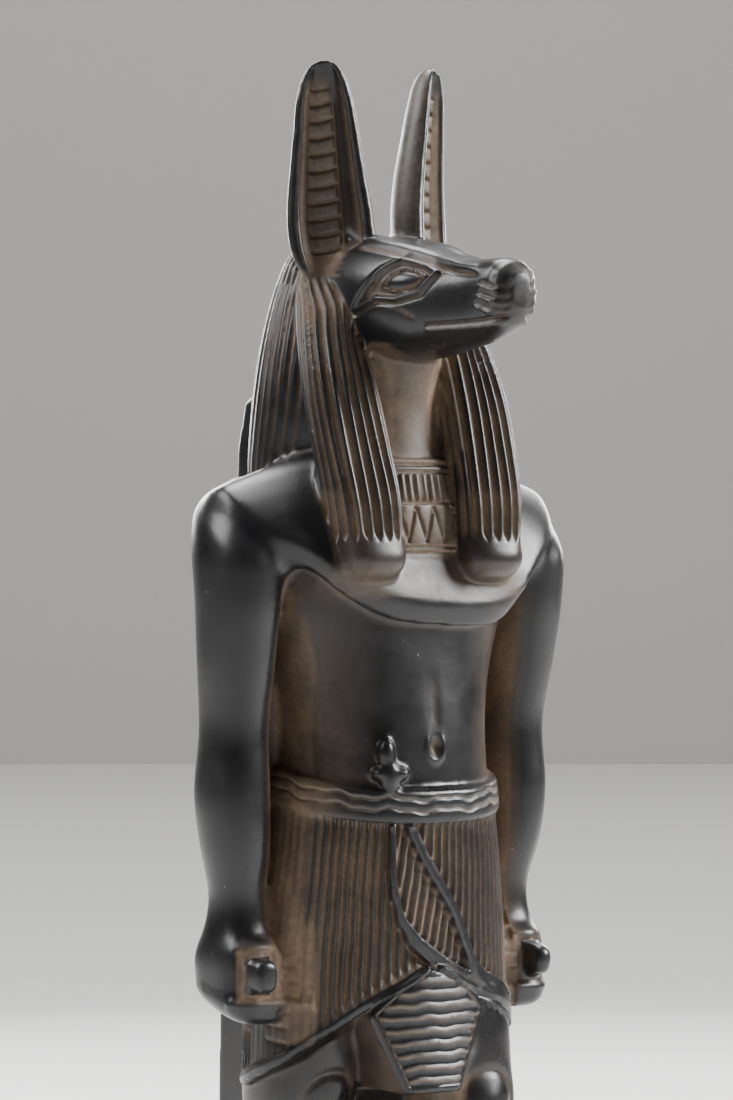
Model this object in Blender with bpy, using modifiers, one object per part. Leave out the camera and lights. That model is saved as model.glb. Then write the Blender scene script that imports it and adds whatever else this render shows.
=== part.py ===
"""Standing jackal-headed figure in the ancient Egyptian manner, cast in one with its back pillar and base.

Metres, +Z up. The figure faces -Y, and the origin is the middle of the base's underside.
The carving is set out in hundredths of the figure's height, as (side, forward, up) from the middle of
the soles: side is + towards the figure's left hand. Turns round the body are in degrees from its front,
+ towards its left hand.
"""

import math

import bmesh
import bpy
import numpy as np

# Driving sizes, in metres
FIGURE_HEIGHT = 0.231  # soles to ear tips
BASE_HEIGHT = 0.009
BASE_END_MARGIN = 0.004  # base beyond the pillar's back and beyond the leading toes
BASE_SIDE_MARGIN = 0.006  # base beyond the feet on each side
BASE_EDGE = 0.0010  # rounding of the base's edges

# The carving's own sizes, in hundredths of the figure's height
PILLAR_BACK = -12.1
FOOT_SIDE = 5.1
FOOT_HALF_WIDTH = 2.65
FOOT_LENGTH = 12.5
HEEL_BEHIND_ANKLE = 2.4
REAR_ANKLE = -5.1
LEADING_ANKLE = 9.7
PLEAT_DEPTH = 0.22
PLEATS = 42  # round the kilt
WIG_GROOVE_DEPTH = 0.16
WIG_GROOVES = 26  # round the back of the wig
LAPPET_GROOVES = 12  # round each lappet
LAPPET_GROOVE_DEPTH = 0.24
TAB_RIBS = 9
TAB_RIB_DEPTH = 0.28
LEAF_RIBS = 13
LEAF_RIB_DEPTH = 0.2
BAND_WIDTH = 0.9
BAND_LIFT = 0.34
OVER_LIFT = 0.44
HEM_LIFT = 0.12
LEAF_LIFT = 0.12
SUNK = 0.8  # how far raised carving reaches into the form behind it
EAR_TURN = 36.0  # degrees outward from straight ahead
EAR_RIM = 0.4
EAR_BOWL = 0.66  # width of the hollow, as a share of the ear's
BELT_DEPTH = 2.5
BELT_DIP = 1.5
BELT_TOP = 49.4
PEG_HALF_WIDTH = 0.95
PEG_HALF_HEIGHT = 1.3
PEG_SIDE, PEG_UP = 12.0, 35.0
PEG_BACK, PEG_FRONT = -4.6, 3.9
YOKE_TOP = 71.9
YOKE_TOP_SHARE = 0.42  # of the shoulders' outline
YOKE_TURNS = 32
YOKE_UNDERCUT = (0.9, 2.0)  # above the lip, and inside it, where the yoke sinks into the body
YOKE_FACE_CURVE = 1.7
YOKE_TOP_CURVE = 0.92

FLAT_ANGLE = math.radians(0.6)  # cuts across a flat are cleared below this
LEAST_EDGE = 0.00002  # an edge shorter than this is drawn to a point
LEAST_HEIGHT = 0.00001  # a triangle flatter than this is laid the other way

PART = FIGURE_HEIGHT / 100
LEADING_TOES = LEADING_ANKLE - HEEL_BEHIND_ANKLE + FOOT_LENGTH
BASE_LENGTH = (LEADING_TOES - PILLAR_BACK) * PART + 2 * BASE_END_MARGIN
BASE_WIDTH = 2 * (FOOT_SIDE + FOOT_HALF_WIDTH) * PART + 2 * BASE_SIDE_MARGIN
AXIS_Y = BASE_LENGTH / 2 - BASE_END_MARGIN + PILLAR_BACK * PART

# Level sections: height, side, forward, half width, front, back, squareness
TORSO = (
    (40.0, 0, 0, 8.8, 6.3, 6.8, 2.3),
    (46.0, 0, 0, 8.5, 6.4, 6.8, 2.3),
    (49.5, 0, 0, 8.0, 6.5, 6.6, 2.3),
    (52.5, 0, 0, 7.9, 6.4, 6.4, 2.3),
    (55.5, 0, 0, 8.3, 6.1, 6.4, 2.3),
    (58.5, 0, 0, 9.1, 5.9, 6.7, 2.3),
    (61.0, 0, 0, 9.7, 5.9, 7.0, 2.4),
    (64.0, 0, 0, 9.9, 6.0, 7.3, 2.4),
    (67.0, 0, 0, 9.6, 5.8, 7.3, 2.4),
    (69.3, 0, 0, 8.6, 5.3, 7.0, 2.4),
    (71.0, 0, 0, 7.2, 4.8, 6.6, 2.3),
    (72.2, 0, 0, 5.6, 4.0, 6.0, 2.2),
)
YOKE = (  # the broad form of chest and shoulders
    (58.0, 0, 0, 14.0, 6.8, 6.4, 2.4),
    (61.0, 0, 0, 14.3, 7.05, 6.6, 2.4),
    (64.0, 0, 0, 14.6, 6.9, 6.8, 2.4),
    (67.0, 0, 0, 14.5, 6.5, 6.6, 2.3),
    (70.0, 0, 0, 13.8, 5.8, 6.2, 2.2),
)
ARM = (  # with a last column: how far the section dips towards its front
    (32.1, 11.2, -0.5, 1.9, 2.4, 2.2, 3.0, 0.28),
    (32.7, 11.2, -0.6, 2.5, 3.2, 3.1, 3.2, 0.28),
    (34.2, 11.2, -0.8, 2.65, 3.4, 3.4, 3.2, 0.15),
    (36.4, 11.3, -0.9, 2.6, 3.4, 3.3, 3.0, 0.0),
    (38.2, 11.4, -1.0, 2.1, 2.5, 2.6, 2.5, 0.0),
    (40.2, 11.5, -0.9, 1.9, 2.2, 2.3, 2.2, 0.0),
    (43.5, 11.9, -0.6, 2.25, 2.7, 2.7, 2.2, 0.0),
    (47.5, 12.2, -0.6, 2.45, 3.0, 3.0, 2.2, 0.0),
    (52.0, 12.1, -0.5, 2.2, 2.8, 2.9, 2.2, 0.0),
    (57.0, 12.3, 0.1, 2.5, 3.1, 3.2, 2.2, 0.0),
    (62.0, 12.4, 0.5, 2.7, 3.6, 3.7, 2.2, 0.0),
    (65.0, 12.3, 0.4, 2.8, 3.6, 4.0, 2.3, 0.0),
    (66.5, 12.1, -0.1, 2.7, 3.2, 3.8, 2.3, 0.0),
    (68.0, 11.7, -0.9, 2.4, 2.2, 3.2, 2.3, 0.0),
    (69.2, 10.7, -1.6, 1.9, 1.2, 2.2, 2.3, 0.0),
    (70.0, 9.6, -1.8, 1.1, 0.8, 1.5, 2.2, 0.0),
)
LEG = (  # height, side, half width, front, back, squareness
    (-0.4, 5.1, 2.1, 2.5, 2.7, 2.2),
    (3.5, 5.1, 2.0, 2.4, 2.5, 2.2),
    (6.0, 5.1, 2.1, 2.5, 2.8, 2.2),
    (11.0, 5.1, 2.8, 2.9, 3.9, 2.2),
    (16.0, 5.15, 3.45, 3.4, 4.7, 2.2),
    (20.0, 5.15, 3.4, 3.4, 4.3, 2.2),
    (23.0, 5.1, 3.2, 3.5, 3.8, 2.3),
    (25.6, 5.1, 3.6, 4.1, 3.9, 2.6),
    (27.6, 5.0, 3.8, 4.3, 4.4, 2.4),
    (31.0, 4.7, 4.2, 4.7, 4.9, 2.3),
    (35.0, 4.3, 4.2, 4.6, 5.1, 2.2),
    (39.0, 4.1, 4.2, 4.6, 5.1, 2.2),
)
REAR_LEG_LINE = ((-1, REAR_ANKLE), (3.5, REAR_ANKLE), (16, -3.9), (26, -2.8), (40, -0.6))
LEADING_LEG_LINE = ((-1, LEADING_ANKLE), (3.5, LEADING_ANKLE), (16, 5.9), (26, 2.6), (40, 0.2))
FOOT = (  # from the heel forward: distance, half width, height
    (0.0, 1.2, 1.6),
    (0.5, 1.8, 2.9),
    (2.0, 2.1, 4.2),
    (4.4, 2.1, 4.3),
    (6.4, 2.3, 3.1),
    (8.6, 2.55, 2.1),
    (10.2, FOOT_HALF_WIDTH, 1.5),
    (11.2, 2.5, 1.1),
)
TOES = ((-1.75, 1.05, 1.0), (-0.5, 0.75, 0.75), (0.45, 0.6, 0.6), (1.25, 0.5, 0.3), (1.95, 0.4, 0.0))
KILT = (
    (24.0, 0, 0, 10.4, 6.4, 7.7, 2.2),
    (30.0, 0, 0, 10.3, 6.5, 7.7, 2.2),
    (34.0, 0, 0, 10.1, 6.6, 7.7, 2.2),
    (38.0, 0, 0, 9.8, 6.7, 7.5, 2.2),
    (42.0, 0, 0, 9.3, 6.8, 7.3, 2.3),
    (46.0, 0, 0, 8.8, 6.8, 7.1, 2.3),
    (50.0, 0, 0, 8.3, 6.8, 6.9, 2.3),
)
HEM = ((0, 35.0), (20, 33.2), (45, 30.9), (70, 28.8), (110, 26.7), (180, 26.2))
NECK = (
    (68.0, 0, 0, 5.0, 5.2, 4.0, 2.2),
    (71.0, 0, 0, 4.3, 4.6, 4.0, 2.2),
    (75.0, 0, 0, 4.0, 4.2, 4.0, 2.2),
    (79.0, 0, 0, 4.2, 4.8, 4.0, 2.2),
    (83.0, 0, 0, 4.0, 5.0, 4.0, 2.2),
)
WIG = (
    (61.8, 0, -5.2, 4.4, 1.3, 2.6, 2.3),
    (62.6, 0, -5.1, 5.4, 2.0, 3.4, 2.4),
    (66.0, 0, -4.8, 6.8, 3.0, 4.0, 2.4),
    (70.2, 0, -4.0, 7.7, 4.6, 4.8, 2.4),
    (74.0, 0, -3.2, 7.8, 5.4, 5.4, 2.4),
    (78.0, 0, -2.9, 7.5, 5.3, 5.4, 2.3),
    (81.0, 0, -2.9, 6.9, 4.9, 5.0, 2.3),
    (84.0, 0, -3.0, 6.0, 4.4, 4.4, 2.2),
    (86.0, 0, -3.1, 5.0, 3.7, 3.6, 2.2),
    (87.3, 0, -3.2, 3.6, 2.6, 2.6, 2.1),
    (87.9, 0, -3.2, 1.8, 1.3, 1.4, 2.0),
)
LAPPET = (
    (62.9, 5.1, 6.6, 1.5, 0.9, 2.0, 2.4),
    (63.4, 5.1, 6.5, 2.1, 1.6, 3.0, 2.8),
    (64.8, 5.15, 6.3, 2.4, 2.0, 3.0, 3.0),
    (68.4, 5.3, 5.9, 2.6, 1.9, 3.0, 3.0),
    (72.0, 5.5, 5.0, 2.65, 1.8, 3.0, 2.8),
    (76.0, 5.6, 3.8, 2.6, 1.7, 3.0, 2.6),
    (80.0, 5.4, 2.6, 2.2, 1.6, 3.0, 2.4),
    (83.0, 5.0, 1.3, 1.6, 1.4, 2.6, 2.2),
)
PILLAR = (  # height, half width, back
    (-0.5, 6.3, PILLAR_BACK),
    (31.0, 6.1, -11.7),
    (72.0, 5.5, -10.3),
    (75.6, 5.2, -9.7),
    (76.4, 4.6, -9.0),
)
PILLAR_FRONT = -3.5

# Upright sections from the nape forward: forward, middle height, half width, above, below, squareness
HEAD = (
    (-4.0, 83.0, 3.4, 3.6, 3.6, 2.2),
    (-1.0, 83.0, 4.6, 4.4, 4.6, 2.3),
    (2.0, 83.0, 4.8, 4.3, 4.8, 2.4),
    (5.0, 82.9, 4.6, 4.0, 4.6, 2.4),
    (7.5, 82.7, 4.1, 3.5, 4.2, 2.5),
    (9.5, 82.5, 3.4, 2.9, 3.7, 2.5),
    (11.5, 82.4, 2.75, 2.5, 3.2, 2.5),
    (13.5, 82.5, 2.3, 2.45, 2.8, 2.5),
    (15.2, 82.75, 2.1, 2.5, 2.3, 2.5),
    (16.2, 82.85, 1.9, 2.25, 2.0, 2.4),
    (16.8, 82.85, 1.5, 1.75, 1.6, 2.3),
    (17.1, 82.85, 0.9, 1.1, 1.0, 2.2),
)

# Ear sections: height, side, forward, half width, depth behind the rim, depth of the hollow
EAR = (
    (83.25, 4.3, 0.9, 0.8, 1.4, 0.0),
    (84.3, 4.3, 0.8, 2.1, 2.2, 0.3),
    (86.0, 4.3, 0.6, 3.0, 2.7, 0.9),
    (88.2, 4.35, 0.3, 3.15, 2.8, 1.1),
    (91.5, 4.45, 0.1, 2.8, 2.6, 1.0),
    (94.5, 4.6, 0.1, 2.3, 2.2, 0.9),
    (97.2, 4.75, 0.1, 1.85, 1.8, 0.7),
    (98.8, 4.8, 0.1, 1.3, 1.3, 0.3),
    (99.5, 4.8, 0.1, 0.85, 0.9, 0.1),
    (99.85, 4.8, 0.1, 0.4, 0.45, 0.0),
)

# Carving on the kilt, as (turn, height) from the knot down to the hem
OVER_BAND = (
    (-10.8, 45.6),
    (-4.0, 43.3),
    (1.7, 41.3),
    (9.0, 39.3),
    (13.0, 37.9),
    (16.5, 36.5),
    (20.0, 35.3),
    (25.0, 34.3),
    (36.0, 33.4),
    (53.0, 32.2),
    (66.0, 31.0),
)
UNDER_BAND = (
    (-19.0, 45.4),
    (-18.0, 42.2),
    (-16.2, 40.3),
    (-13.5, 38.8),
    (-7.0, 37.2),
    (0.8, 35.9),
    (8.9, 34.9),
    (21.3, 34.0),
    (36.0, 33.2),
)
TAB = ((26.4, 2.4), (28.4, 3.3), (30.3, 4.2), (32.1, 5.0), (33.7, 3.3), (35.2, 0.7))  # height, half width
TAB_FRONT = 7.3
TAB_BACK = -2.0
TAB_CURVE = 0.05

# Carving on the chest and waist
COLLAR_BOTTOM, COLLAR_TOP, COLLAR_TURN, COLLAR_LIFT = 64.8, 71.0, 34.0, 0.3
KNOT = (  # turn, height, half across, half tall
    (-24.0, 50.3, 0.72, 1.35),
    (-27.5, 49.0, 0.6, 0.6),
    (-15.5, 49.1, 0.8, 0.6),
    (-21.0, 48.4, 0.95, 0.9),
)
RIDGE = (  # turn, height of the chest's upper edge; it rises to each shoulder's corner
    (-180, 69.6),
    (-135, 68.8),
    (-115, 68.2),
    (-100, 68.9),
    (-85, 69.3),
    (-72, 68.1),
    (-59, 66.8),
    (-45, 65.8),
    (-36, 64.9),
    (-25, 63.2),
    (-10, 61.6),
    (0, 61.1),
    (15, 61.0),
    (27, 61.6),
    (37, 62.8),
    (48, 64.9),
    (59, 66.5),
    (72, 68.0),
    (85, 69.3),
    (100, 68.9),
    (115, 68.2),
    (135, 68.8),
    (180, 69.6),
)
LIP = (  # turn, height of the chest's lower edge; it rises into each armpit
    (-180, 60.0),
    (-75, 60.0),
    (-65, 61.0),
    (-56, 62.4),
    (-50, 63.2),
    (-43, 63.6),
    (-36, 63.1),
    (-25, 61.3),
    (-11, 59.9),
    (0, 59.5),
    (16, 59.3),
    (25, 59.6),
    (36, 61.3),
    (44, 63.0),
    (50, 63.3),
    (56, 62.4),
    (65, 61.0),
    (75, 60.0),
    (180, 60.0),
)
LIP_SET_BACK = ((0, 0.4), (25, 0.55), (40, 1.3), (55, 2.0), (75, 1.6), (180, 1.0))  # |turn|, distance
ARM_WEB = (  # height, half width, front, back
    (32.4, 10.9, -1.4, -4.2),
    (36.0, 11.2, -1.4, -4.4),
    (60.0, 12.0, -1.0, -4.6),
    (68.0, 10.8, -1.0, -4.4),
)
LEG_WEB_SIDES = 5.9, -1.6  # from the leading leg's outer side to the rear leg
LEG_WEB_LEVELS = (-0.5, 10.0, 20.0, 30.0, 38.0)
BELT_PROFILE = (  # share of the belt's depth, lift: flat bands with two grooves between
    (0.0, 0.0),
    (0.05, 0.34),
    (0.28, 0.34),
    (0.36, 0.14),
    (0.44, 0.34),
    (0.6, 0.34),
    (0.68, 0.14),
    (0.76, 0.34),
    (0.95, 0.34),
    (1.0, 0.0),
)


def place(side, forward, up):
    return (side * PART, AXIS_Y - forward * PART, BASE_HEIGHT + up * PART)


def power(value, exponent):
    return math.copysign(abs(value) ** exponent, value)


def read(table, height):
    """The columns of a table at a height, on a smooth line through its rows."""
    rows = np.array(table, float)
    slopes = np.gradient(rows[:, 1:], rows[:, 0], axis=0)
    height = min(max(height, rows[0, 0]), rows[-1, 0])
    i = min(int(np.searchsorted(rows[:, 0], height, side="right")) - 1, len(rows) - 2)
    step = rows[i + 1, 0] - rows[i, 0]
    t = (height - rows[i, 0]) / step
    start = (1 + 2 * t) * (1 - t) ** 2 * rows[i, 1:] + t * (1 - t) ** 2 * step * slopes[i]
    end = t * t * (3 - 2 * t) * rows[i + 1, 1:] - t * t * (1 - t) * step * slopes[i + 1]
    return start + end


def skin(table, turn, height, lift=0.0):
    """A point on a level section at a turn from its front, lifted off the surface."""
    side, forward, half_width, front, back, squareness, *dip = read(table, height)
    angle = math.radians(turn)
    reach = front if math.cos(angle) > 0 else back
    across = power(math.sin(angle), 2 / squareness)
    along = power(math.cos(angle), 2 / squareness)
    return (
        side + across * half_width + lift * math.sin(angle),
        forward + along * reach + lift * math.cos(angle),
        height - sum(dip) * along * reach,
    )


def solid(name, rings, centres=None):
    """A closed body through rings of (side, forward, up) points, each end closed to its middle."""
    shape = bmesh.new()
    levels = [[shape.verts.new(place(*point)) for point in ring] for ring in rings]
    count = len(levels[0])
    for lower, upper in zip(levels, levels[1:]):
        for i in range(count):
            j = (i + 1) % count
            shape.faces.new((lower[i], lower[j], upper[j], upper[i]))
    centres = centres or [np.mean(rings[0], axis=0), np.mean(rings[-1], axis=0)]
    for level, centre in ((levels[0], centres[0]), (levels[-1], centres[1])):
        middle = shape.verts.new(place(*centre))
        for i in range(count):
            shape.faces.new((level[i], level[(i + 1) % count], middle))
    return body(name, shape)


def body(name, shape):
    bmesh.ops.triangulate(shape, faces=shape.faces)
    bmesh.ops.recalc_face_normals(shape, faces=shape.faces)
    if shape.calc_volume(signed=True) < 0:
        bmesh.ops.reverse_faces(shape, faces=shape.faces)
    mesh = bpy.data.meshes.new(name)
    shape.to_mesh(mesh)
    shape.free()
    made = bpy.data.objects.new(name, mesh)
    bpy.context.scene.collection.objects.link(made)
    return made


def sheet(name, outer, inner):
    """A closed slab between two grids of points with the same rows and columns."""
    shape = bmesh.new()
    grids = []
    for grid in (outer, inner):
        grids.append([[shape.verts.new(place(*point)) for point in row] for row in grid])
    rows, columns = len(outer), len(outer[0])
    for grid in grids:
        for i in range(rows - 1):
            for j in range(columns - 1):
                shape.faces.new((grid[i][j], grid[i][j + 1], grid[i + 1][j + 1], grid[i + 1][j]))
    edge = [(0, j) for j in range(columns)] + [(i, columns - 1) for i in range(1, rows)]
    edge += [(rows - 1, j) for j in range(columns - 2, -1, -1)] + [(i, 0) for i in range(rows - 2, 0, -1)]
    for (a, b), (c, d) in zip(edge, edge[1:] + edge[:1]):
        shape.faces.new((grids[0][a][b], grids[0][c][d], grids[1][c][d], grids[1][a][b]))
    return body(name, shape)


def level_rings(table, segments, groove=None, extra=0, mirror=1):
    """Rings through a table of level sections. A groove gives the lift at a place in the ring."""
    heights = [row[0] for row in table]
    levels = []
    for low, high in zip(heights, heights[1:]):
        levels += [low + (high - low) * k / (extra + 1) for k in range(extra + 1)]
    levels.append(heights[-1])
    rings = []
    for height in levels:
        ring = []
        for i in range(segments):
            turn = 360 * i / segments
            lift = groove(i, turn, height) if groove else 0
            side, forward, up = skin(table, turn, height, lift)
            ring.append((mirror * side, forward, up))
        rings.append(ring)
    return rings


def torso():
    return solid("torso", level_rings(TORSO, 28))


def yoke():
    """The chest and shoulders: a sloping top out to a crisp edge, and a face turned under to the lip."""
    turns = [360 * i / YOKE_TURNS - 180 for i in range(YOKE_TURNS)]
    ridge = [float(np.interp(turn, *zip(*RIDGE))) for turn in turns]
    lip = [float(np.interp(turn, *zip(*LIP))) for turn in turns]
    set_back = [float(np.interp(abs(turn), *zip(*LIP_SET_BACK))) for turn in turns]
    around = list(zip(turns, lip, ridge, set_back))
    above, within = YOKE_UNDERCUT
    rings = [[skin(YOKE, turn, low + above, -inset - within) for turn, low, _, inset in around]]
    for share in (0, 0.4, 1):
        ring = []
        for turn, low, high, inset in around:
            under = -inset * (1 - share) ** YOKE_FACE_CURVE
            ring.append(skin(YOKE, turn, low + share * (high - low), under))
        rings.append(ring)
    edge = rings[-1]
    for share in (0.45, 1):
        spread = 1 - share * (1 - YOKE_TOP_SHARE)
        ring = []
        for side, forward, up in edge:
            rise = (YOKE_TOP - up) * share**YOKE_TOP_CURVE
            ring.append((side * spread, forward * spread, up + rise))
        rings.append(ring)
    return solid("yoke", rings)


def neck():
    return solid("neck", level_rings(NECK, 18))


def arm(mirror):
    return solid("arm", level_rings(ARM, 16, mirror=mirror))


def arm_web():
    """The recessed wall that joins both arms to the body."""
    rings = [[(w, f, z), (w, b, z), (-w, b, z), (-w, f, z)] for z, w, f, b in ARM_WEB]
    return solid("arm_web", rings)


def leg(mirror, line):
    rows = []
    for height, side, half_width, front, back, squareness in LEG:
        forward = float(np.interp(height, *zip(*line)))
        rows.append((height, side, forward, half_width, front, back, squareness))
    return solid("leg", level_rings(rows, 16, mirror=mirror))


def foot(mirror, ankle):
    """The foot as sections from the heel forward, sunk a little into the base."""
    rings = []
    for distance, half_width, height in FOOT:
        forward = ankle - HEEL_BEHIND_ANKLE + distance
        ring = []
        for i in range(14):
            angle = math.radians(360 * i / 14)
            rise = math.sin(angle)
            up = height * power(rise, 0.85) if rise > 0 else -0.4 * abs(rise) ** 0.3
            ring.append((mirror * (FOOT_SIDE + half_width * power(math.cos(angle), 0.8)), forward, up))
        rings.append(ring)
    made = [solid("foot", rings)]
    ball = ankle - HEEL_BEHIND_ANKLE + FOOT[-1][0]
    tip = ankle - HEEL_BEHIND_ANKLE + FOOT_LENGTH
    for across, thickness, reach in TOES:
        length = (tip - ball) + reach - 1.0
        sections = ((ball - 1.0, 0.9), (ball + length * 0.7, 1.0), (ball + length, 0.45))
        rings = []
        for forward, share in sections:
            rings.append([])
            for i in range(6):
                angle = math.radians(60 * i)
                side = FOOT_SIDE + across + thickness * share * math.cos(angle) * 0.75
                rings[-1].append((mirror * side, forward, 0.35 + thickness * share * math.sin(angle)))
        made.append(solid("toe", rings))
    return made


def leg_web():
    """The wall between the legs and behind the leading one, back to the pillar."""
    rings = []
    outer, inner = LEG_WEB_SIDES
    back = PILLAR_BACK + 1.5
    for height in LEG_WEB_LEVELS:
        front = np.interp(height, *zip(*LEADING_LEG_LINE)) - 0.6
        corners = ((outer, front), (outer, back), (inner, back), (inner, front - 3.0))
        rings.append([(side, forward, height) for side, forward in corners])
    return solid("leg_web", rings)


def pillar():
    return solid(
        "pillar",
        [[(w, PILLAR_FRONT, z), (w, back, z), (-w, back, z), (-w, PILLAR_FRONT, z)] for z, w, back in PILLAR],
    )


def hem_height(turn):
    turn = abs((turn + 180) % 360 - 180)
    return float(np.interp(turn, *zip(*HEM)))


def kilt():
    """The pleated kilt, its hem rising to the middle of the front."""
    count = 2 * PLEATS
    rings = []
    for share in (0, 0.04, 0.045, 0.4, 1.0):
        ring = []
        for i in range(count):
            turn = 360 * i / count
            height = hem_height(turn) + share * (KILT[-1][0] - 2.0 - hem_height(turn))
            lift = HEM_LIFT if share < 0.042 else (0.0 if i % 2 else -PLEAT_DEPTH)
            ring.append(skin(KILT, turn, height, lift))
        rings.append(ring)
    return solid("kilt", rings, [(0, -2.0, 28.0), (0, 0, KILT[-1][0] - 2.0)])


def path_point(path, share):
    """A point on a path of (turn, height) at a share of its length."""
    turns, heights = np.array(path, float).T
    radius = KILT[2][3] * math.pi / 180
    steps = np.hypot(np.diff(turns) * radius, np.diff(heights))
    along = np.concatenate(([0], np.cumsum(steps))) / steps.sum()
    return np.interp(share, along, turns), np.interp(share, along, heights)


def band(path, width, lift, steps=16):
    """A flat raised band along a path on the kilt."""
    radius = KILT[2][3] * math.pi / 180
    outer, inner = [], []
    for k in range(steps + 1):
        turn, height = path_point(path, k / steps)
        ahead = path_point(path, min(1, (k + 1) / steps))
        behind = path_point(path, max(0, (k - 1) / steps))
        run, drop = (ahead[0] - behind[0]) * radius, ahead[1] - behind[1]
        length = math.hypot(run, drop)
        across = (-drop / length * width / 2 / radius, run / length * width / 2)
        sides = [(turn - across[0], height - across[1]), (turn + across[0], height + across[1])]
        outer.append([skin(KILT, *side, lift) for side in sides])
        inner.append([skin(KILT, *side, -SUNK) for side in sides])
    return sheet("band", outer, inner)


def leaf():
    """The slant-ribbed panel between the two crossing bands."""
    outer, inner = [], []
    steps = 2 * LEAF_RIBS
    for k in range(steps + 1):
        share = 0.03 + 0.75 * k / steps
        low = path_point(UNDER_BAND, share)
        high = path_point(OVER_BAND, share * 0.62)
        lift = LEAF_LIFT + (LEAF_RIB_DEPTH if k % 2 else 0)
        row = [(low[0] + (high[0] - low[0]) * t, low[1] + (high[1] - low[1]) * t) for t in (0, 0.5, 1)]
        outer.append([skin(KILT, *point, lift) for point in row])
        inner.append([skin(KILT, *point, -SUNK) for point in row])
    return sheet("leaf", outer, inner)


def tab():
    """The ribbed tab that hangs at the middle of the kilt, with the casting behind it."""
    low, high = TAB[0][0], TAB[-1][0]
    outer, inner = [], []
    steps = 2 * TAB_RIBS
    for k in range(steps + 1):
        height = low + (high - low) * k / steps
        half = float(np.interp(height, *zip(*TAB)))
        row = []
        for t in (-1, -0.86, -0.84, -0.4, 0, 0.4, 0.84, 0.86, 1):
            side = t * half
            rib = TAB_RIB_DEPTH if abs(t) > 0.85 or k % 2 else 0.0
            row.append((side, TAB_FRONT - TAB_CURVE * side * side - TAB_RIB_DEPTH + rib, height))
        outer.append(row)
        inner.append([(side * 0.8, TAB_BACK, up) for side, _, up in row])
    return sheet("tab", outer, inner)


def belt():
    """The belt, dipping at the front, with two grooves along it."""
    rings = []
    for share, lift in BELT_PROFILE:
        ring = []
        for i in range(30):
            turn = 12 * i
            top = BELT_TOP - BELT_DIP * max(0.0, math.cos(math.radians(turn)))
            height = top - BELT_DEPTH * (1 - share)
            ring.append(skin(KILT, turn, height, lift))
        rings.append(ring)
    return solid("belt", rings)


def bead(name, centre, halves, segments=8, rows=6):
    """A rounded lump with its own half sizes across, forward and up."""
    rings = []
    for k in range(1, rows):
        angle = math.pi * k / rows
        ring = []
        for i in range(segments):
            turn = 2 * math.pi * i / segments
            ring.append(
                (
                    centre[0] + halves[0] * math.sin(angle) * math.cos(turn),
                    centre[1] + halves[1] * math.sin(angle) * math.sin(turn),
                    centre[2] - halves[2] * math.cos(angle),
                )
            )
        rings.append(ring)
    side, forward, up = centre
    return solid(name, rings, [(side, forward, up - halves[2]), (side, forward, up + halves[2])])


def collar():
    outer, inner = [], []
    for height in (COLLAR_BOTTOM, 66.6, 68.6, COLLAR_TOP):
        turns = [COLLAR_TURN * t for t in (-1, -0.6, -0.2, 0.2, 0.6, 1)]
        outer.append([skin(TORSO, turn, height, COLLAR_LIFT) for turn in turns])
        inner.append([skin(TORSO, turn, height, -1.0) for turn in turns])
    return sheet("collar", outer, inner)


def wig():
    """The wig behind the shoulders and over the head, grooved from the crown down."""

    def groove(i, turn, height):
        behind = 60 < turn < 300
        return -WIG_GROOVE_DEPTH if i % 2 and behind and height < 86.5 else 0

    return solid("wig", level_rings(WIG, 2 * WIG_GROOVES, groove))


def lappet(mirror):
    """One front length of the wig, grooved down to points above its rounded end."""

    def groove(i, turn, height):
        return -LAPPET_GROOVE_DEPTH if i % 2 and height > 64.9 else 0

    return solid("lappet", level_rings(LAPPET, 2 * LAPPET_GROOVES, groove, mirror=mirror))


def head():
    rings = []
    for forward, middle, half_width, above, below, squareness in HEAD:
        ring = []
        for i in range(22):
            angle = 2 * math.pi * i / 22
            reach = above if math.sin(angle) > 0 else below
            side = half_width * power(math.cos(angle), 2 / squareness)
            ring.append((side, forward, middle + reach * power(math.sin(angle), 2 / squareness)))
        rings.append(ring)
    return solid("head", rings)


def ear(mirror):
    """One ear: a rounded back and a hollow front inside a raised rim."""
    turned = math.radians(EAR_TURN)
    rings = []
    for height, side, forward, half_width, depth, hollow in EAR:
        section = []
        for i in range(10):
            angle = math.pi * (1 + i / 9)
            section.append((half_width * math.cos(angle), depth * math.sin(angle)))
        rim = min(EAR_RIM, half_width / 2)
        for t in (0.98, 0.8, EAR_BOWL, 0.33, 0, -0.33, -EAR_BOWL, -0.8, -0.98):
            bowl = hollow * (1 - min(1, abs(t) / EAR_BOWL) ** 3)
            section.append((half_width * t, (rim if abs(t) == 0.8 else 0) - bowl))
        ring = []
        for across, ahead in section:
            out = across * math.cos(turned) + ahead * math.sin(turned)
            on = ahead * math.cos(turned) - across * math.sin(turned)
            ring.append((mirror * (side + out), forward + on, height))
        rings.append(ring)
    return solid("ear", rings)


def peg(mirror):
    """The short peg that the fist holds, showing at both ends of it."""
    rings = []
    for forward, share in ((PEG_BACK, 0.85), (PEG_FRONT - 0.4, 1.0), (PEG_FRONT, 0.8)):
        ring = []
        for i in range(12):
            angle = math.radians(30 * i + 15)
            side = PEG_SIDE + PEG_HALF_WIDTH * share * power(math.cos(angle), 0.45)
            up = PEG_UP + PEG_HALF_HEIGHT * share * power(math.sin(angle), 0.45)
            ring.append((mirror * side, forward, up))
        rings.append(ring)
    return solid("peg", rings)


def base():
    bpy.ops.mesh.primitive_cube_add(size=1, location=(0, 0, BASE_HEIGHT / 2))
    made = bpy.context.object
    made.name = "base"
    made.scale = (BASE_WIDTH, BASE_LENGTH, BASE_HEIGHT)
    bpy.ops.object.transform_apply(location=True, rotation=False, scale=True)
    edge = made.modifiers.new("edge", "BEVEL")
    edge.width = BASE_EDGE
    edge.segments = 2
    bpy.ops.object.modifier_apply(modifier=edge.name)
    return made


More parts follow.
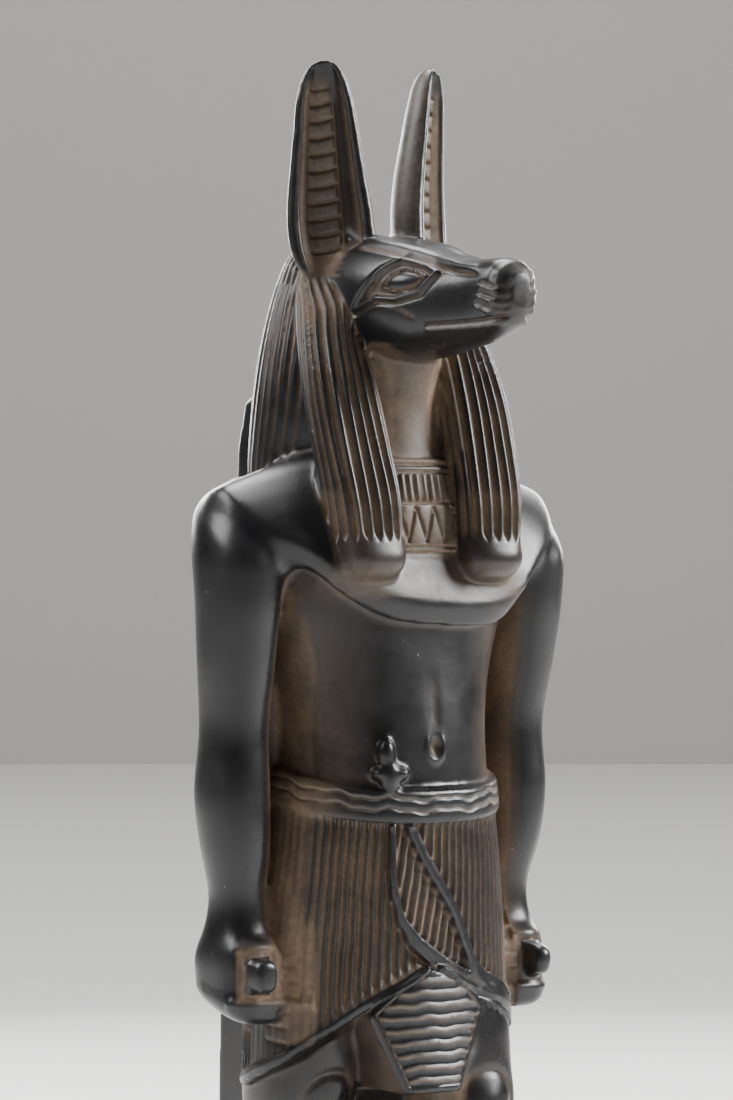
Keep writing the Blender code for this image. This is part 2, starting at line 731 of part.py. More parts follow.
def unite(main, others):
    """Joins the others to the first body, one at a time, and clears them away."""
    bpy.context.view_layer.objects.active = main
    for other in others:
        join = main.modifiers.new("join", "BOOLEAN")
        join.operation = "UNION"
        join.solver = "MANIFOLD"  # the exact one leaves open edges at the toes and the ears
        join.object = other
        bpy.ops.object.modifier_apply(modifier=join.name)
        bpy.data.objects.remove(other)
    return main


def take_out_slivers(shape):
    """Draws the shortest edges to a point and turns the longest edge of the flattest triangles."""
    for edge in [edge for edge in shape.edges if edge.calc_length() < LEAST_EDGE]:
        if edge.is_valid:
            one, other = edge.verts
            near_one = {link.other_vert(one) for link in one.link_edges}
            near_other = {link.other_vert(other) for link in other.link_edges}
            if len(near_one & near_other) == 2:
                bmesh.ops.pointmerge(shape, verts=[one, other], merge_co=one.co.copy())
    for face in [face for face in shape.faces]:
        if face.is_valid:
            longest = max(face.edges, key=lambda edge: edge.calc_length())
            if 2 * face.calc_area() < LEAST_HEIGHT * longest.calc_length():
                bmesh.utils.edge_rotate(longest, True)


def outer_skin(mesh_object):
    """Keeps the outer skin of the casting, in triangles, with nothing loose inside it."""
    shape = bmesh.new()
    shape.from_mesh(mesh_object.data)
    bmesh.ops.dissolve_limit(shape, angle_limit=FLAT_ANGLE, verts=shape.verts, edges=shape.edges)
    bmesh.ops.triangulate(shape, faces=shape.faces)
    take_out_slivers(shape)
    left = set(shape.verts)
    skins = []
    while left:
        stack = [left.pop()]
        found = set(stack)
        while stack:
            for edge in stack.pop().link_edges:
                for vert in edge.verts:
                    if vert not in found:
                        found.add(vert)
                        stack.append(vert)
        left -= found
        skins.append(found)
    largest = max(skins, key=len)
    bmesh.ops.delete(shape, geom=[vert for vert in shape.verts if vert not in largest], context="VERTS")
    shape.to_mesh(mesh_object.data)
    shape.free()


def black_resin():
    material = bpy.data.materials.new("black_resin")
    material.use_nodes = True
    shader = material.node_tree.nodes["Principled BSDF"]
    shader.inputs["Base Color"].default_value = (0.018, 0.018, 0.02, 1)
    shader.inputs["Roughness"].default_value = 0.38
    return material


def main():
    for old in list(bpy.data.objects):
        bpy.data.objects.remove(old)
    pieces = [torso(), yoke(), neck(), arm_web(), arm(1), arm(-1)]
    pieces += [leg(-1, REAR_LEG_LINE), leg(1, LEADING_LEG_LINE)]
    pieces += foot(-1, REAR_ANKLE) + foot(1, LEADING_ANKLE)
    pieces += [leg_web(), pillar(), kilt(), tab(), leaf()]
    pieces += [band(UNDER_BAND, BAND_WIDTH, BAND_LIFT), band(OVER_BAND, BAND_WIDTH, OVER_LIFT), belt()]
    for turn, height, across, tall in KNOT:
        pieces.append(bead("knot", skin(TORSO, turn, height, 0.2), (across, 0.8, tall)))
    pieces += [collar(), wig(), lappet(1), lappet(-1), head(), ear(1), ear(-1), peg(1), peg(-1)]
    figure = unite(base(), pieces)
    figure.name = "anubis_figure"
    figure.data.name = "anubis_figure"
    outer_skin(figure)
    figure.data.materials.clear()
    figure.data.materials.append(black_resin())
    bpy.ops.object.select_all(action="DESELECT")
    figure.select_set(True)
    bpy.context.view_layer.objects.active = figure
    bpy.ops.object.shade_smooth()
    figure.data.set_sharp_from_angle(angle=math.radians(35))
    collection = bpy.data.collections.new("anubis_figurine")
    bpy.context.scene.collection.children.link(collection)
    for holder in list(figure.users_collection):
        holder.objects.unlink(figure)
    collection.objects.link(figure)


main()
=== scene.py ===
"""Standing jackal-headed figure of cast black resin: its carving, its worn finish, a plain studio."""

import math

import bmesh
import bpy
import numpy as np
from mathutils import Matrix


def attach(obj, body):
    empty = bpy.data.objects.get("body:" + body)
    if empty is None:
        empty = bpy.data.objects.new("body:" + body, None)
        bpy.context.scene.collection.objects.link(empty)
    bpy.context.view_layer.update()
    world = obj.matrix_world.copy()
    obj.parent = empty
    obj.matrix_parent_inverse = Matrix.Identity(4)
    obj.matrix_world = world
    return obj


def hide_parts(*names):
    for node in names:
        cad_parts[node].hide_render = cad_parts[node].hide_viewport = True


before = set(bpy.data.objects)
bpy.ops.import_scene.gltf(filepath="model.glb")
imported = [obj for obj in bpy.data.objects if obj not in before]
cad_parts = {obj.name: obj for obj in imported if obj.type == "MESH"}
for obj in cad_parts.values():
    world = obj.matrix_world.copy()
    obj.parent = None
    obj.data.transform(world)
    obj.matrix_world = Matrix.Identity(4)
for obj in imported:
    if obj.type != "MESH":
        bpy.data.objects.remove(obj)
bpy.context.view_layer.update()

# Driving sizes, in metres
FIGURE_HEIGHT = 0.231  # soles to ear tips
BASE_HEIGHT = 0.009
BASE_END_MARGIN = 0.004
BASE_SIDE_MARGIN = 0.006
BASE_EDGE = 0.0010
CELL = 0.0004  # cell of the fused casting
FINISHED_TRIANGLES = 192000

# The carving's own sizes, in hundredths of the figure's height, from the middle of the soles
PILLAR_BACK = -12.1
PILLAR_FRONT = -3.5
FOOT_SIDE = 5.1
FOOT_HALF_WIDTH = 2.65
FOOT_LENGTH = 12.5
HEEL_BEHIND_ANKLE = 2.4
REAR_ANKLE = -5.1
LEADING_ANKLE = 9.7
EAR_TURN = math.radians(36)  # outward from straight ahead
EAR_RIM = 0.4
EAR_BOWL = 0.66  # share of the ear's width
BELT_TOP = 49.4
BELT_DEPTH = 2.5
BELT_DIP = 1.5
PEG_HALF_WIDTH, PEG_HALF_HEIGHT = 0.95, 1.3
PEG_SIDE, PEG_UP = 12.0, 35.0
KILT_TOP = 48.0
TAB_FRONT = 7.3
TAB_BACK = -2.0
TAB_CURVE = 0.05
PLEAT_PITCH = 0.68
LEAF_RIB_PITCH = 0.74
TAB_GROOVE_PITCH = 0.88
LAPPET_GROOVE_PITCH = 0.92
WIG_GROOVE_PITCH = 0.95
COLLAR_BAR_PITCH = 0.62
COLLAR_TRIANGLE_WIDTH = 1.55
EAR_NOTCH_PITCH = 1.17
FINGER_PITCH = 1.1

# Rounds of softening, for the whole fused skin and then for its broad plain stretches
FUSED_SOFTENING = 7
PLAIN_SOFTENING = 22

PART = FIGURE_HEIGHT / 100
LEADING_TOES = LEADING_ANKLE - HEEL_BEHIND_ANKLE + FOOT_LENGTH
BASE_LENGTH = (LEADING_TOES - PILLAR_BACK) * PART + 2 * BASE_END_MARGIN
BASE_WIDTH = 2 * (FOOT_SIDE + FOOT_HALF_WIDTH) * PART + 2 * BASE_SIDE_MARGIN
AXIS_Y = BASE_LENGTH / 2 - BASE_END_MARGIN + PILLAR_BACK * PART

# Level sections: height, side, forward, half width, front, back, squareness, dip towards the front
TORSO = (
    (40.0, 0, 0, 8.8, 6.3, 6.8, 2.3, 0),
    (46.0, 0, 0, 8.5, 6.4, 6.8, 2.3, 0),
    (49.5, 0, 0, 8.0, 6.5, 6.6, 2.3, 0),
    (52.5, 0, 0, 7.9, 6.4, 6.4, 2.3, 0),
    (55.5, 0, 0, 8.3, 6.1, 6.4, 2.3, 0),
    (58.5, 0, 0, 9.1, 5.9, 6.7, 2.3, 0),
    (61.0, 0, 0, 9.7, 5.9, 7.0, 2.4, 0),
    (64.0, 0, 0, 9.9, 6.0, 7.3, 2.4, 0),
    (67.0, 0, 0, 9.6, 5.8, 7.3, 2.4, 0),
    (69.3, 0, 0, 8.6, 5.3, 7.0, 2.4, 0),
    (71.0, 0, 0, 7.2, 4.8, 6.6, 2.3, 0),
    (72.2, 0, 0, 5.6, 4.0, 6.0, 2.2, 0),
)
YOKE = (  # the broad form of chest and shoulders
    (58.0, 0, 0, 14.0, 6.8, 6.4, 2.4, 0),
    (61.0, 0, 0, 14.3, 7.05, 6.6, 2.4, 0),
    (64.0, 0, 0, 14.6, 6.9, 6.8, 2.4, 0),
    (67.0, 0, 0, 14.5, 6.5, 6.6, 2.3, 0),
    (70.0, 0, 0, 13.8, 5.8, 6.2, 2.2, 0),
)
ARM = (
    (32.1, 11.2, -0.5, 1.9, 2.4, 2.2, 3.0, 0.28),
    (32.7, 11.2, -0.6, 2.5, 3.2, 3.1, 3.2, 0.28),
    (34.2, 11.2, -0.8, 2.65, 3.4, 3.4, 3.2, 0.15),
    (36.4, 11.3, -0.9, 2.6, 3.4, 3.3, 3.0, 0.0),
    (38.2, 11.4, -1.0, 2.1, 2.5, 2.6, 2.5, 0.0),
    (40.2, 11.5, -0.9, 1.9, 2.2, 2.3, 2.2, 0.0),
    (43.5, 11.9, -0.6, 2.25, 2.7, 2.7, 2.2, 0.0),
    (47.5, 12.2, -0.6, 2.45, 3.0, 3.0, 2.2, 0.0),
    (52.0, 12.1, -0.5, 2.2, 2.8, 2.9, 2.2, 0.0),
    (57.0, 12.3, 0.1, 2.5, 3.1, 3.2, 2.2, 0.0),
    (62.0, 12.4, 0.5, 2.7, 3.6, 3.7, 2.2, 0.0),
    (65.0, 12.3, 0.4, 2.8, 3.6, 4.0, 2.3, 0.0),
    (66.5, 12.1, -0.1, 2.7, 3.2, 3.8, 2.3, 0.0),
    (68.0, 11.7, -0.9, 2.4, 2.2, 3.2, 2.3, 0.0),
    (69.2, 10.7, -1.6, 1.9, 1.2, 2.2, 2.3, 0.0),
    (70.0, 9.6, -1.8, 1.1, 0.8, 1.5, 2.2, 0.0),
)
LEG = (  # height, side, half width, front, back, squareness
    (-0.4, 5.1, 2.1, 2.5, 2.7, 2.2),
    (3.5, 5.1, 2.0, 2.4, 2.5, 2.2),
    (6.0, 5.1, 2.1, 2.5, 2.8, 2.2),
    (11.0, 5.1, 2.8, 2.9, 3.9, 2.2),
    (16.0, 5.15, 3.45, 3.4, 4.7, 2.2),
    (20.0, 5.15, 3.4, 3.4, 4.3, 2.2),
    (23.0, 5.1, 3.2, 3.5, 3.8, 2.3),
    (25.6, 5.1, 3.6, 4.1, 3.9, 2.6),
    (27.6, 5.0, 3.8, 4.3, 4.4, 2.4),
    (31.0, 4.7, 4.2, 4.7, 4.9, 2.3),
    (35.0, 4.3, 4.2, 4.6, 5.1, 2.2),
    (39.0, 4.1, 4.2, 4.6, 5.1, 2.2),
)
REAR_LEG_LINE = ((-1, REAR_ANKLE), (3.5, REAR_ANKLE), (16, -3.9), (26, -2.8), (40, -0.6))
LEADING_LEG_LINE = ((-1, LEADING_ANKLE), (3.5, LEADING_ANKLE), (16, 5.9), (26, 2.6), (40, 0.2))
FOOT = (  # from the heel forward: distance, half width, height
    (0.0, 1.2, 1.6),
    (0.5, 1.8, 2.9),
    (2.0, 2.1, 4.2),
    (4.4, 2.1, 4.3),
    (6.4, 2.3, 3.1),
    (8.6, 2.55, 2.1),
    (10.2, FOOT_HALF_WIDTH, 1.5),
    (11.2, 2.5, 1.1),
)
TOES = ((-1.75, 1.05, 1.0), (-0.5, 0.75, 0.75), (0.45, 0.6, 0.6), (1.25, 0.5, 0.3), (1.95, 0.4, 0.0))
KILT = (
    (24.0, 0, 0, 10.4, 6.4, 7.7, 2.2, 0),
    (30.0, 0, 0, 10.3, 6.5, 7.7, 2.2, 0),
    (34.0, 0, 0, 10.1, 6.6, 7.7, 2.2, 0),
    (38.0, 0, 0, 9.8, 6.7, 7.5, 2.2, 0),
    (42.0, 0, 0, 9.3, 6.8, 7.3, 2.3, 0),
    (46.0, 0, 0, 8.8, 6.8, 7.1, 2.3, 0),
    (50.0, 0, 0, 8.3, 6.8, 6.9, 2.3, 0),
)
HEM = ((0, 35.0), (20, 33.2), (45, 30.9), (70, 28.8), (110, 26.7), (180, 26.2))
NECK = (
    (68.0, 0, 0, 5.0, 5.2, 4.0, 2.2, 0),
    (71.0, 0, 0, 4.3, 4.6, 4.0, 2.2, 0),
    (75.0, 0, 0, 4.0, 4.2, 4.0, 2.2, 0),
    (79.0, 0, 0, 4.2, 4.8, 4.0, 2.2, 0),
    (83.0, 0, 0, 4.0, 5.0, 4.0, 2.2, 0),
)
WIG = (
    (61.8, 0, -5.2, 4.4, 1.3, 2.6, 2.3, 0),
    (62.6, 0, -5.1, 5.4, 2.0, 3.4, 2.4, 0),
    (66.0, 0, -4.8, 6.8, 3.0, 4.0, 2.4, 0),
    (70.0, 0, -4.0, 7.7, 4.6, 4.8, 2.4, 0),
    (74.0, 0, -3.2, 7.8, 5.4, 5.4, 2.4, 0),
    (78.0, 0, -2.9, 7.5, 5.3, 5.4, 2.3, 0),
    (81.0, 0, -2.9, 6.9, 4.9, 5.0, 2.3, 0),
    (84.0, 0, -3.0, 6.0, 4.4, 4.4, 2.2, 0),
    (86.0, 0, -3.1, 5.0, 3.7, 3.6, 2.2, 0),
    (87.3, 0, -3.2, 3.6, 2.6, 2.6, 2.1, 0),
    (87.9, 0, -3.2, 1.8, 1.3, 1.4, 2.0, 0),
)
LAPPET = (
    (62.6, 5.1, 6.2, 1.3, 0.6, 2.0, 2.2, 0),
    (62.9, 5.1, 6.3, 1.85, 1.3, 2.5, 2.3, 0),
    (63.5, 5.1, 6.4, 2.25, 1.9, 3.0, 2.5, 0),
    (64.4, 5.12, 6.35, 2.45, 2.15, 3.0, 2.7, 0),
    (65.4, 5.15, 6.2, 2.45, 2.0, 3.0, 2.9, 0),
    (68.4, 5.3, 5.9, 2.6, 1.9, 3.0, 3.0, 0),
    (72.0, 5.5, 5.0, 2.65, 1.8, 3.0, 2.8, 0),
    (76.0, 5.6, 3.8, 2.6, 1.7, 3.0, 2.6, 0),
    (80.0, 5.4, 2.2, 2.25, 1.6, 3.0, 2.4, 0),
    (82.2, 5.0, 1.2, 2.1, 1.5, 3.0, 2.3, 0),
    (83.6, 4.7, 0.1, 1.9, 1.1, 2.6, 2.2, 0),
    (84.6, 4.4, -0.9, 1.4, 0.8, 2.0, 2.2, 0),
    (85.2, 4.2, -1.4, 0.8, 0.5, 1.0, 2.0, 0),
)
PILLAR = (
    (-0.5, 6.3, PILLAR_BACK),
    (31.0, 6.1, -11.7),
    (72.0, 5.5, -10.3),
    (75.6, 5.2, -9.7),
    (76.4, 4.6, -9.0),
)

# Upright sections from the nape forward: forward, middle height, half width, above, below, squareness
HEAD = (
    (-4.0, 83.0, 3.4, 3.6, 3.6, 2.2),
    (-1.0, 83.0, 4.6, 4.4, 4.6, 2.3),
    (2.0, 83.0, 4.8, 4.3, 4.8, 2.4),
    (5.0, 82.9, 4.6, 4.0, 4.6, 2.4),
    (7.5, 82.7, 4.1, 3.5, 4.2, 2.5),
    (9.5, 82.5, 3.4, 3.05, 3.7, 2.5),
    (11.5, 82.4, 2.75, 2.85, 3.35, 2.5),
    (13.5, 82.5, 2.3, 2.6, 3.2, 2.5),
    (15.2, 82.75, 2.1, 2.35, 2.95, 2.5),
    (16.2, 82.85, 1.9, 2.1, 2.6, 2.5),
    (16.8, 82.85, 1.5, 1.65, 2.15, 2.4),
    (17.1, 82.85, 0.9, 1.05, 1.4, 2.3),
)

# Ear sections: height, side, forward, half width, depth behind the rim, depth of the hollow
EAR = (
    (83.4, 4.3, 0.9, 0.8, 1.4, 0.0),
    (84.3, 4.3, 0.8, 2.1, 2.2, 0.3),
    (86.0, 4.3, 0.6, 3.0, 2.7, 0.9),
    (88.2, 4.35, 0.3, 3.15, 2.8, 1.1),
    (91.5, 4.45, 0.1, 2.8, 2.6, 1.0),
    (94.5, 4.6, 0.1, 2.4, 2.2, 0.9),
    (97.2, 4.75, 0.1, 2.0, 1.8, 0.7),
    (98.8, 4.8, 0.1, 1.45, 1.4, 0.3),
    (99.5, 4.8, 0.1, 0.95, 0.95, 0.05),
    (99.75, 4.8, 0.1, 0.6, 0.65, 0.0),
    (99.95, 4.8, 0.1, 0.12, 0.2, 0.0),
)

# Carving lines on the kilt, as (turn in degrees from the front, height)
OVER_BAND = (
    (-10.8, 45.6),
    (-4.0, 43.3),
    (1.7, 41.3),
    (9.0, 39.3),
    (13.0, 37.9),
    (16.5, 36.5),
    (20.0, 35.3),
    (25.0, 34.3),
    (36.0, 33.4),
    (53.0, 32.2),
    (66.0, 31.0),
)
UNDER_BAND = (
    (-19.0, 45.4),
    (-18.0, 42.2),
    (-16.2, 40.3),
    (-13.5, 38.8),
    (-7.0, 37.2),
    (0.8, 35.9),
    (8.9, 34.9),
    (21.3, 34.0),
    (36.0, 33.2),
)
TAB = (  # height, half width
    (26.4, 2.4),
    (28.4, 3.3),
    (30.3, 4.2),
    (32.1, 5.0),
    (33.7, 3.3),
    (35.2, 0.7),
)
KNOT = (  # turn, height, half across, half tall
    (-24.0, 50.5, 0.64, 1.15),
    (-21.5, 48.9, 0.8, 1.2),
    (-28.0, 49.1, 0.5, 0.42),
    (-15.5, 49.1, 0.6, 0.45),
)
RIDGE = (  # turn, height of the chest's upper edge; it rises to each shoulder's corner
    (-180, 69.6),
    (-135, 68.8),
    (-115, 68.2),
    (-100, 68.9),
    (-85, 69.3),
    (-72, 68.1),
    (-59, 66.8),
    (-45, 65.8),
    (-36, 64.9),
    (-25, 63.2),
    (-10, 61.6),
    (0, 61.1),
    (15, 61.0),
    (27, 61.6),
    (37, 62.8),
    (48, 64.9),
    (59, 66.5),
    (72, 68.0),
    (85, 69.3),
    (100, 68.9),
    (115, 68.2),
    (135, 68.8),
    (180, 69.6),
)
LIP = (  # turn, height of the chest's lower edge; it rises into each armpit
    (-180, 60.0),
    (-75, 60.0),
    (-65, 61.0),
    (-56, 62.4),
    (-50, 63.2),
    (-43, 63.6),
    (-36, 63.1),
    (-25, 61.3),
    (-11, 59.9),
    (0, 59.5),
    (16, 59.3),
    (25, 59.6),
    (36, 61.3),
    (44, 63.0),
    (50, 63.3),
    (56, 62.4),
    (65, 61.0),
    (75, 60.0),
    (180, 60.0),
)
YOKE_TURNS = 240  # points round the yoke
LIP_SET_BACK = ((0, 0.4), (25, 0.55), (40, 1.3), (55, 2.0), (75, 1.6), (180, 1.0))  # |turn|, distance
YOKE_TOP = 71.9
YOKE_TOP_SHARE = 0.42  # of the outline

# Carving lines on the side of the face, as (forward, height)
BROW = ((1.5, 87.0), (6.1, 86.3), (7.9, 85.9), (9.5, 85.4), (12.5, 84.6), (15.2, 84.2))
UPPER_LID = ((3.7, 81.8), (5.0, 83.3), (6.2, 84.5), (7.6, 85.25), (9.5, 84.8), (10.8, 84.2))
LOWER_LID = ((10.8, 84.2), (9.7, 82.9), (7.8, 82.45), (6.0, 82.6), (3.7, 81.8))
EYE = (
    (6.5, 83.4),
    (7.2, 84.2),
    (8.1, 84.55),
    (9.2, 84.35),
    (9.9, 84.0),
    (9.3, 83.3),
    (8.5, 83.0),
    (7.4, 83.05),
)
CHEEK = ((5.8, 82.3), (6.8, 82.2), (7.75, 81.8), (9.0, 81.1))
MOUTH = ((10.0, 80.55), (12.0, 80.6), (14.5, 80.65), (16.3, 80.8), (17.2, 81.0))
WHISKERS = (((15.2, 83.3), (16.5, 82.95)), ((15.0, 82.6), (16.3, 82.2)), ((14.7, 81.9), (15.9, 81.4)))

COLLAR_BOTTOM, COLLAR_TOP = 64.7, 71.0

# The front end of the peg in each fist, right (-1) and left (1), as (forward, share of its thickness)
PEG_ENDS = {
    -1: ((3.4, 0.94), (3.75, 0.84), (3.9, 0.6)),
    1: ((3.4, 0.9), (3.9, 0.75), (4.25, 0.4)),
}


def place(points):
    """Figure points (side, forward, up) as metres in the row frame."""
    side, forward, up = np.moveaxis(np.asarray(points, float), -1, 0)
    return np.stack((side * PART, AXIS_Y - forward * PART, BASE_HEIGHT + up * PART), axis=-1)


def power(value, exponent):
    return np.sign(value) * np.abs(value) ** exponent


def read(table, heights):
    """The columns of a table at each height, on smooth lines through its rows."""
    rows = np.array(table, float)
    slopes = np.gradient(rows[:, 1:], rows[:, 0], axis=0)
    heights = np.clip(np.asarray(heights, float), rows[0, 0], rows[-1, 0])
    i = np.clip(np.searchsorted(rows[:, 0], heights, side="right") - 1, 0, len(rows) - 2)
    step = (rows[i + 1, 0] - rows[i, 0])[..., None]
    t = (heights - rows[i, 0])[..., None] / step
    start = (1 + 2 * t) * (1 - t) ** 2 * rows[i, 1:] + t * (1 - t) ** 2 * step * slopes[i]
    end = t * t * (3 - 2 * t) * rows[i + 1, 1:] - t * t * (1 - t) * step * slopes[i + 1]
    return start + end


def skin(table, turns, heights, lift=0.0):
    """Points on a level section at turns (radians) from its front."""
    turns, heights = np.broadcast_arrays(np.asarray(turns, float), np.asarray(heights, float))
    side, forward, half_width, front, back, squareness, dip = np.moveaxis(read(table, heights), -1, 0)
    reach = np.where(np.cos(turns) > 0, front, back)
    along = power(np.cos(turns), 2 / squareness) * reach
    across = power(np.sin(turns), 2 / squareness) * half_width
    return np.stack(
        (
            side + across + lift * np.sin(turns),
            forward + along + lift * np.cos(turns),
            heights - dip * along,
        ),
        axis=-1,
    )


def around(table, side, forward, up):
    """How far each point is from a level section's surface, and its turn from the section's front."""
    middle, centre, half_width, front, back, squareness, _ = np.moveaxis(read(table, up), -1, 0)
    across = (side - middle) / half_width
    reach = np.where(forward > centre, front, back)
    along = (forward - centre) / reach
    share = (np.abs(across) ** squareness + np.abs(along) ** squareness) ** (1 / squareness)
    turn = np.arctan2(power(across, squareness / 2), power(along, squareness / 2))
    return (share - 1) * np.minimum(half_width, reach), turn


def girth(table, height):
    """Distance round a section from its front, as a lookup of turns and lengths."""
    turns = np.linspace(-math.pi, math.pi, 721)
    points = skin(table, turns, height)
    steps = np.linalg.norm(np.diff(points, axis=0), axis=1)
    lengths = np.concatenate(([0], np.cumsum(steps)))
    return turns, lengths - np.interp(0, turns, lengths)


def soft(value, low, high):
    t = np.clip((value - low) / (high - low), 0, 1)
    return t * t * (3 - 2 * t)


def bump(distance, width):
    return np.exp(-((distance / width) ** 2))


def from_nearest(value, pitch):
    """How far each value is from the nearest whole number of pitches."""
    count = value / pitch
    return (count - np.round(count)) * pitch


def lowered(path, drop):
    return [(across, up - drop) for across, up in path]


def to_path(across, up, path):
    """Distance of each (across, up) point from a line through the path's points."""
    nearest = np.full(len(across), 1e9)
    for (x0, y0), (x1, y1) in zip(path, path[1:]):
        run, rise = x1 - x0, y1 - y0
        t = np.clip(((across - x0) * run + (up - y0) * rise) / (run * run + rise * rise), 0, 1)
        nearest = np.minimum(nearest, np.hypot(across - x0 - t * run, up - y0 - t * rise))
    return nearest


def inside(across, up, outline):
    """Which (across, up) points lie within a closed outline."""
    within = np.zeros(len(across), bool)
    for (x0, y0), (x1, y1) in zip(outline, list(outline[1:]) + [outline[0]]):
        crosses = (y0 > up) != (y1 > up)
        at = x0 + (up - y0) * (x1 - x0) / (y1 - y0 if y1 != y0 else 1e-9)
        within ^= crosses & (across < at)
    return within


# Forms of the casting


def body(rings):
    """A closed body through rings of figure points."""
    rings = place(rings)
    count = rings.shape[1]
    shape = bmesh.new()
    grid = [[shape.verts.new(point) for point in ring] for ring in rings]
    for lower, upper in zip(grid, grid[1:]):
        for i in range(count):
            j = (i + 1) % count
            shape.faces.new((lower[i], lower[j], upper[j], upper[i]))
    for ring in (grid[0], grid[-1]):
        middle = shape.verts.new(np.mean([vert.co for vert in ring], axis=0))
        for i in range(count):
            shape.faces.new((ring[i], ring[(i + 1) % count], middle))
    bmesh.ops.recalc_face_normals(shape, faces=shape.faces)
    mesh = bpy.data.meshes.new("form")
    shape.to_mesh(mesh)
    shape.free()
    made = bpy.data.objects.new("form", mesh)
    bpy.context.scene.collection.objects.link(made)
    return made


def level_body(table, segments=96, step=0.4, mirror=1, lift=0.0):
    heights = np.arange(table[0][0], table[-1][0] + step / 2, step)
    turns = np.linspace(0, 2 * math.pi, segments, endpoint=False)
    rings = skin(table, turns[None, :], heights[:, None], lift)
    rings[..., 0] *= mirror
    return body(rings)


def yoke():
    """The chest and shoulders: a sloping top out to a crisp edge, and a face turned under to the lip."""
    turns = np.linspace(-math.pi, math.pi, YOKE_TURNS, endpoint=False)
    degrees = np.degrees(turns)
    ridge = np.interp(degrees, *zip(*RIDGE))
    lip = np.interp(degrees, *zip(*LIP))
    ridge, lip = (
        np.convolve(np.tile(line, 3), np.ones(7) / 7, "same")[YOKE_TURNS : 2 * YOKE_TURNS]
        for line in (ridge, lip)
    )
    set_back = np.interp(np.abs(degrees), *zip(*LIP_SET_BACK))
    rings = [skin(YOKE, turns, lip + 0.9, -set_back - 2.0)]
    for share in np.linspace(0, 1, 12):
        rings.append(skin(YOKE, turns, lip + share * (ridge - lip), -set_back * (1 - share) ** 1.7))
    edge = rings[-1]
    for share in np.linspace(0, 1, 16)[1:]:
        ring = edge.copy()
        ring[:, :2] *= 1 - share * (1 - YOKE_TOP_SHARE)
        ring[:, 2] = ridge + (YOKE_TOP - ridge) * share**0.92
        rings.append(ring)
    return body(rings)


def leg(mirror, line):
    rows = [row[:2] + (float(np.interp(row[0], *zip(*line))),) + row[2:] + (0,) for row in LEG]
    return level_body(rows, 64, mirror=mirror)


def foot(mirror, ankle):
    """The foot and its five toes, sunk a little into the base."""
    turns = np.linspace(0, 2 * math.pi, 48, endpoint=False)
    heel = ankle - HEEL_BEHIND_ANKLE
    distances = np.linspace(FOOT[0][0], FOOT[-1][0], 40)
    rise = np.sin(turns)
    rings = []
    for distance, (half_width, height) in zip(distances, read(FOOT, distances)):
        up = np.where(rise > 0, height * power(rise, 0.85), -0.4 * np.abs(rise) ** 0.3)
        side = FOOT_SIDE + half_width * power(np.cos(turns), 0.8)
        rings.append(np.stack((mirror * side, np.full(len(turns), heel + distance), up), axis=-1))
    made = [body(rings)]
    ball = heel + FOOT[-1][0]
    tip = heel + FOOT_LENGTH
    turns = turns[::2]
    for across, thickness, reach in TOES:
        end = tip + reach - 1.0
        rings = []
        for share, size in ((0, 0.85), (0.25, 0.95), (0.55, 1.0), (0.8, 0.95), (0.93, 0.75), (1.0, 0.4)):
            side = FOOT_SIDE + across + thickness * size * np.cos(turns) * 0.75
            up = 0.35 + thickness * size * np.sin(turns)
            along = np.full(len(turns), ball - 1 + share * (end - ball + 1))
            rings.append(np.stack((mirror * side, along, up), axis=-1))
        made.append(body(rings))
    return made


def arm_web():
    """The casting left between the arms and the body."""
    rows = (  # height, half width, front, back
        (32.4, 10.9, -1.4, -4.2),
        (36.0, 11.2, -1.4, -4.4),
        (60.0, 12.0, -1.0, -4.6),
        (68.0, 10.8, -1.0, -4.4),
    )
    return body([[(w, f, z), (w, b, z), (-w, b, z), (-w, f, z)] for z, w, f, b in rows])


def leg_web():
    """The casting left behind the leading leg."""
    rings = []
    for height in (-0.5, 10.0, 20.0, 30.0, 38.0):
        front = float(np.interp(height, *zip(*LEADING_LEG_LINE))) - 0.6
        back = PILLAR_BACK + 1.5
        outer = [(5.9, front, height), (5.9, back, height)]
        rings.append(outer + [(-1.6, back, height), (-1.6, front - 3.0, height)])
    return body(rings)


def pillar():
    rings = []
    for z, w, b in PILLAR:
        rings.append([(w, PILLAR_FRONT, z), (w, b, z), (-w, b, z), (-w, PILLAR_FRONT, z)])
    return body(rings)


def hem_height(turn):
    return np.interp(np.degrees(np.abs(turn)), *zip(*HEM))


def kilt():
    turns = np.linspace(-math.pi, math.pi, 180, endpoint=False)
    low = hem_height(turns)
    rings = [skin(KILT, turns, low + share * (KILT_TOP - low)) for share in np.linspace(0, 1, 30)]
    inner = [skin(KILT, turns, low + 0.2, -1.6), rings[0]]
    return body(inner + rings[1:])


def tab():
    """The tab at the middle of the kilt, with the casting behind it."""
    heights = np.linspace(TAB[0][0], TAB[-1][0], 40)
    rings = []
    for height in heights:
        half = float(np.interp(height, *zip(*TAB)))
        across = np.linspace(-half, half, 31)
        front = [(side, TAB_FRONT - TAB_CURVE * side * side, height) for side in across]
        rings.append(front + [(0.8 * half, TAB_BACK, height), (-0.8 * half, TAB_BACK, height)])
    return body(rings)


def belt():
    turns = np.linspace(-math.pi, math.pi, 120, endpoint=False)
    top = BELT_TOP - BELT_DIP * np.maximum(0, np.cos(turns))
    rings = []
    profile = ((0.0, -0.3), (0.04, 0.28), (0.12, 0.34), (0.88, 0.34), (0.96, 0.28), (1.0, -0.3))
    for share, lift in profile:
        rings.append(skin(KILT, turns, top - BELT_DEPTH * (1 - share), lift))
    return body(rings)


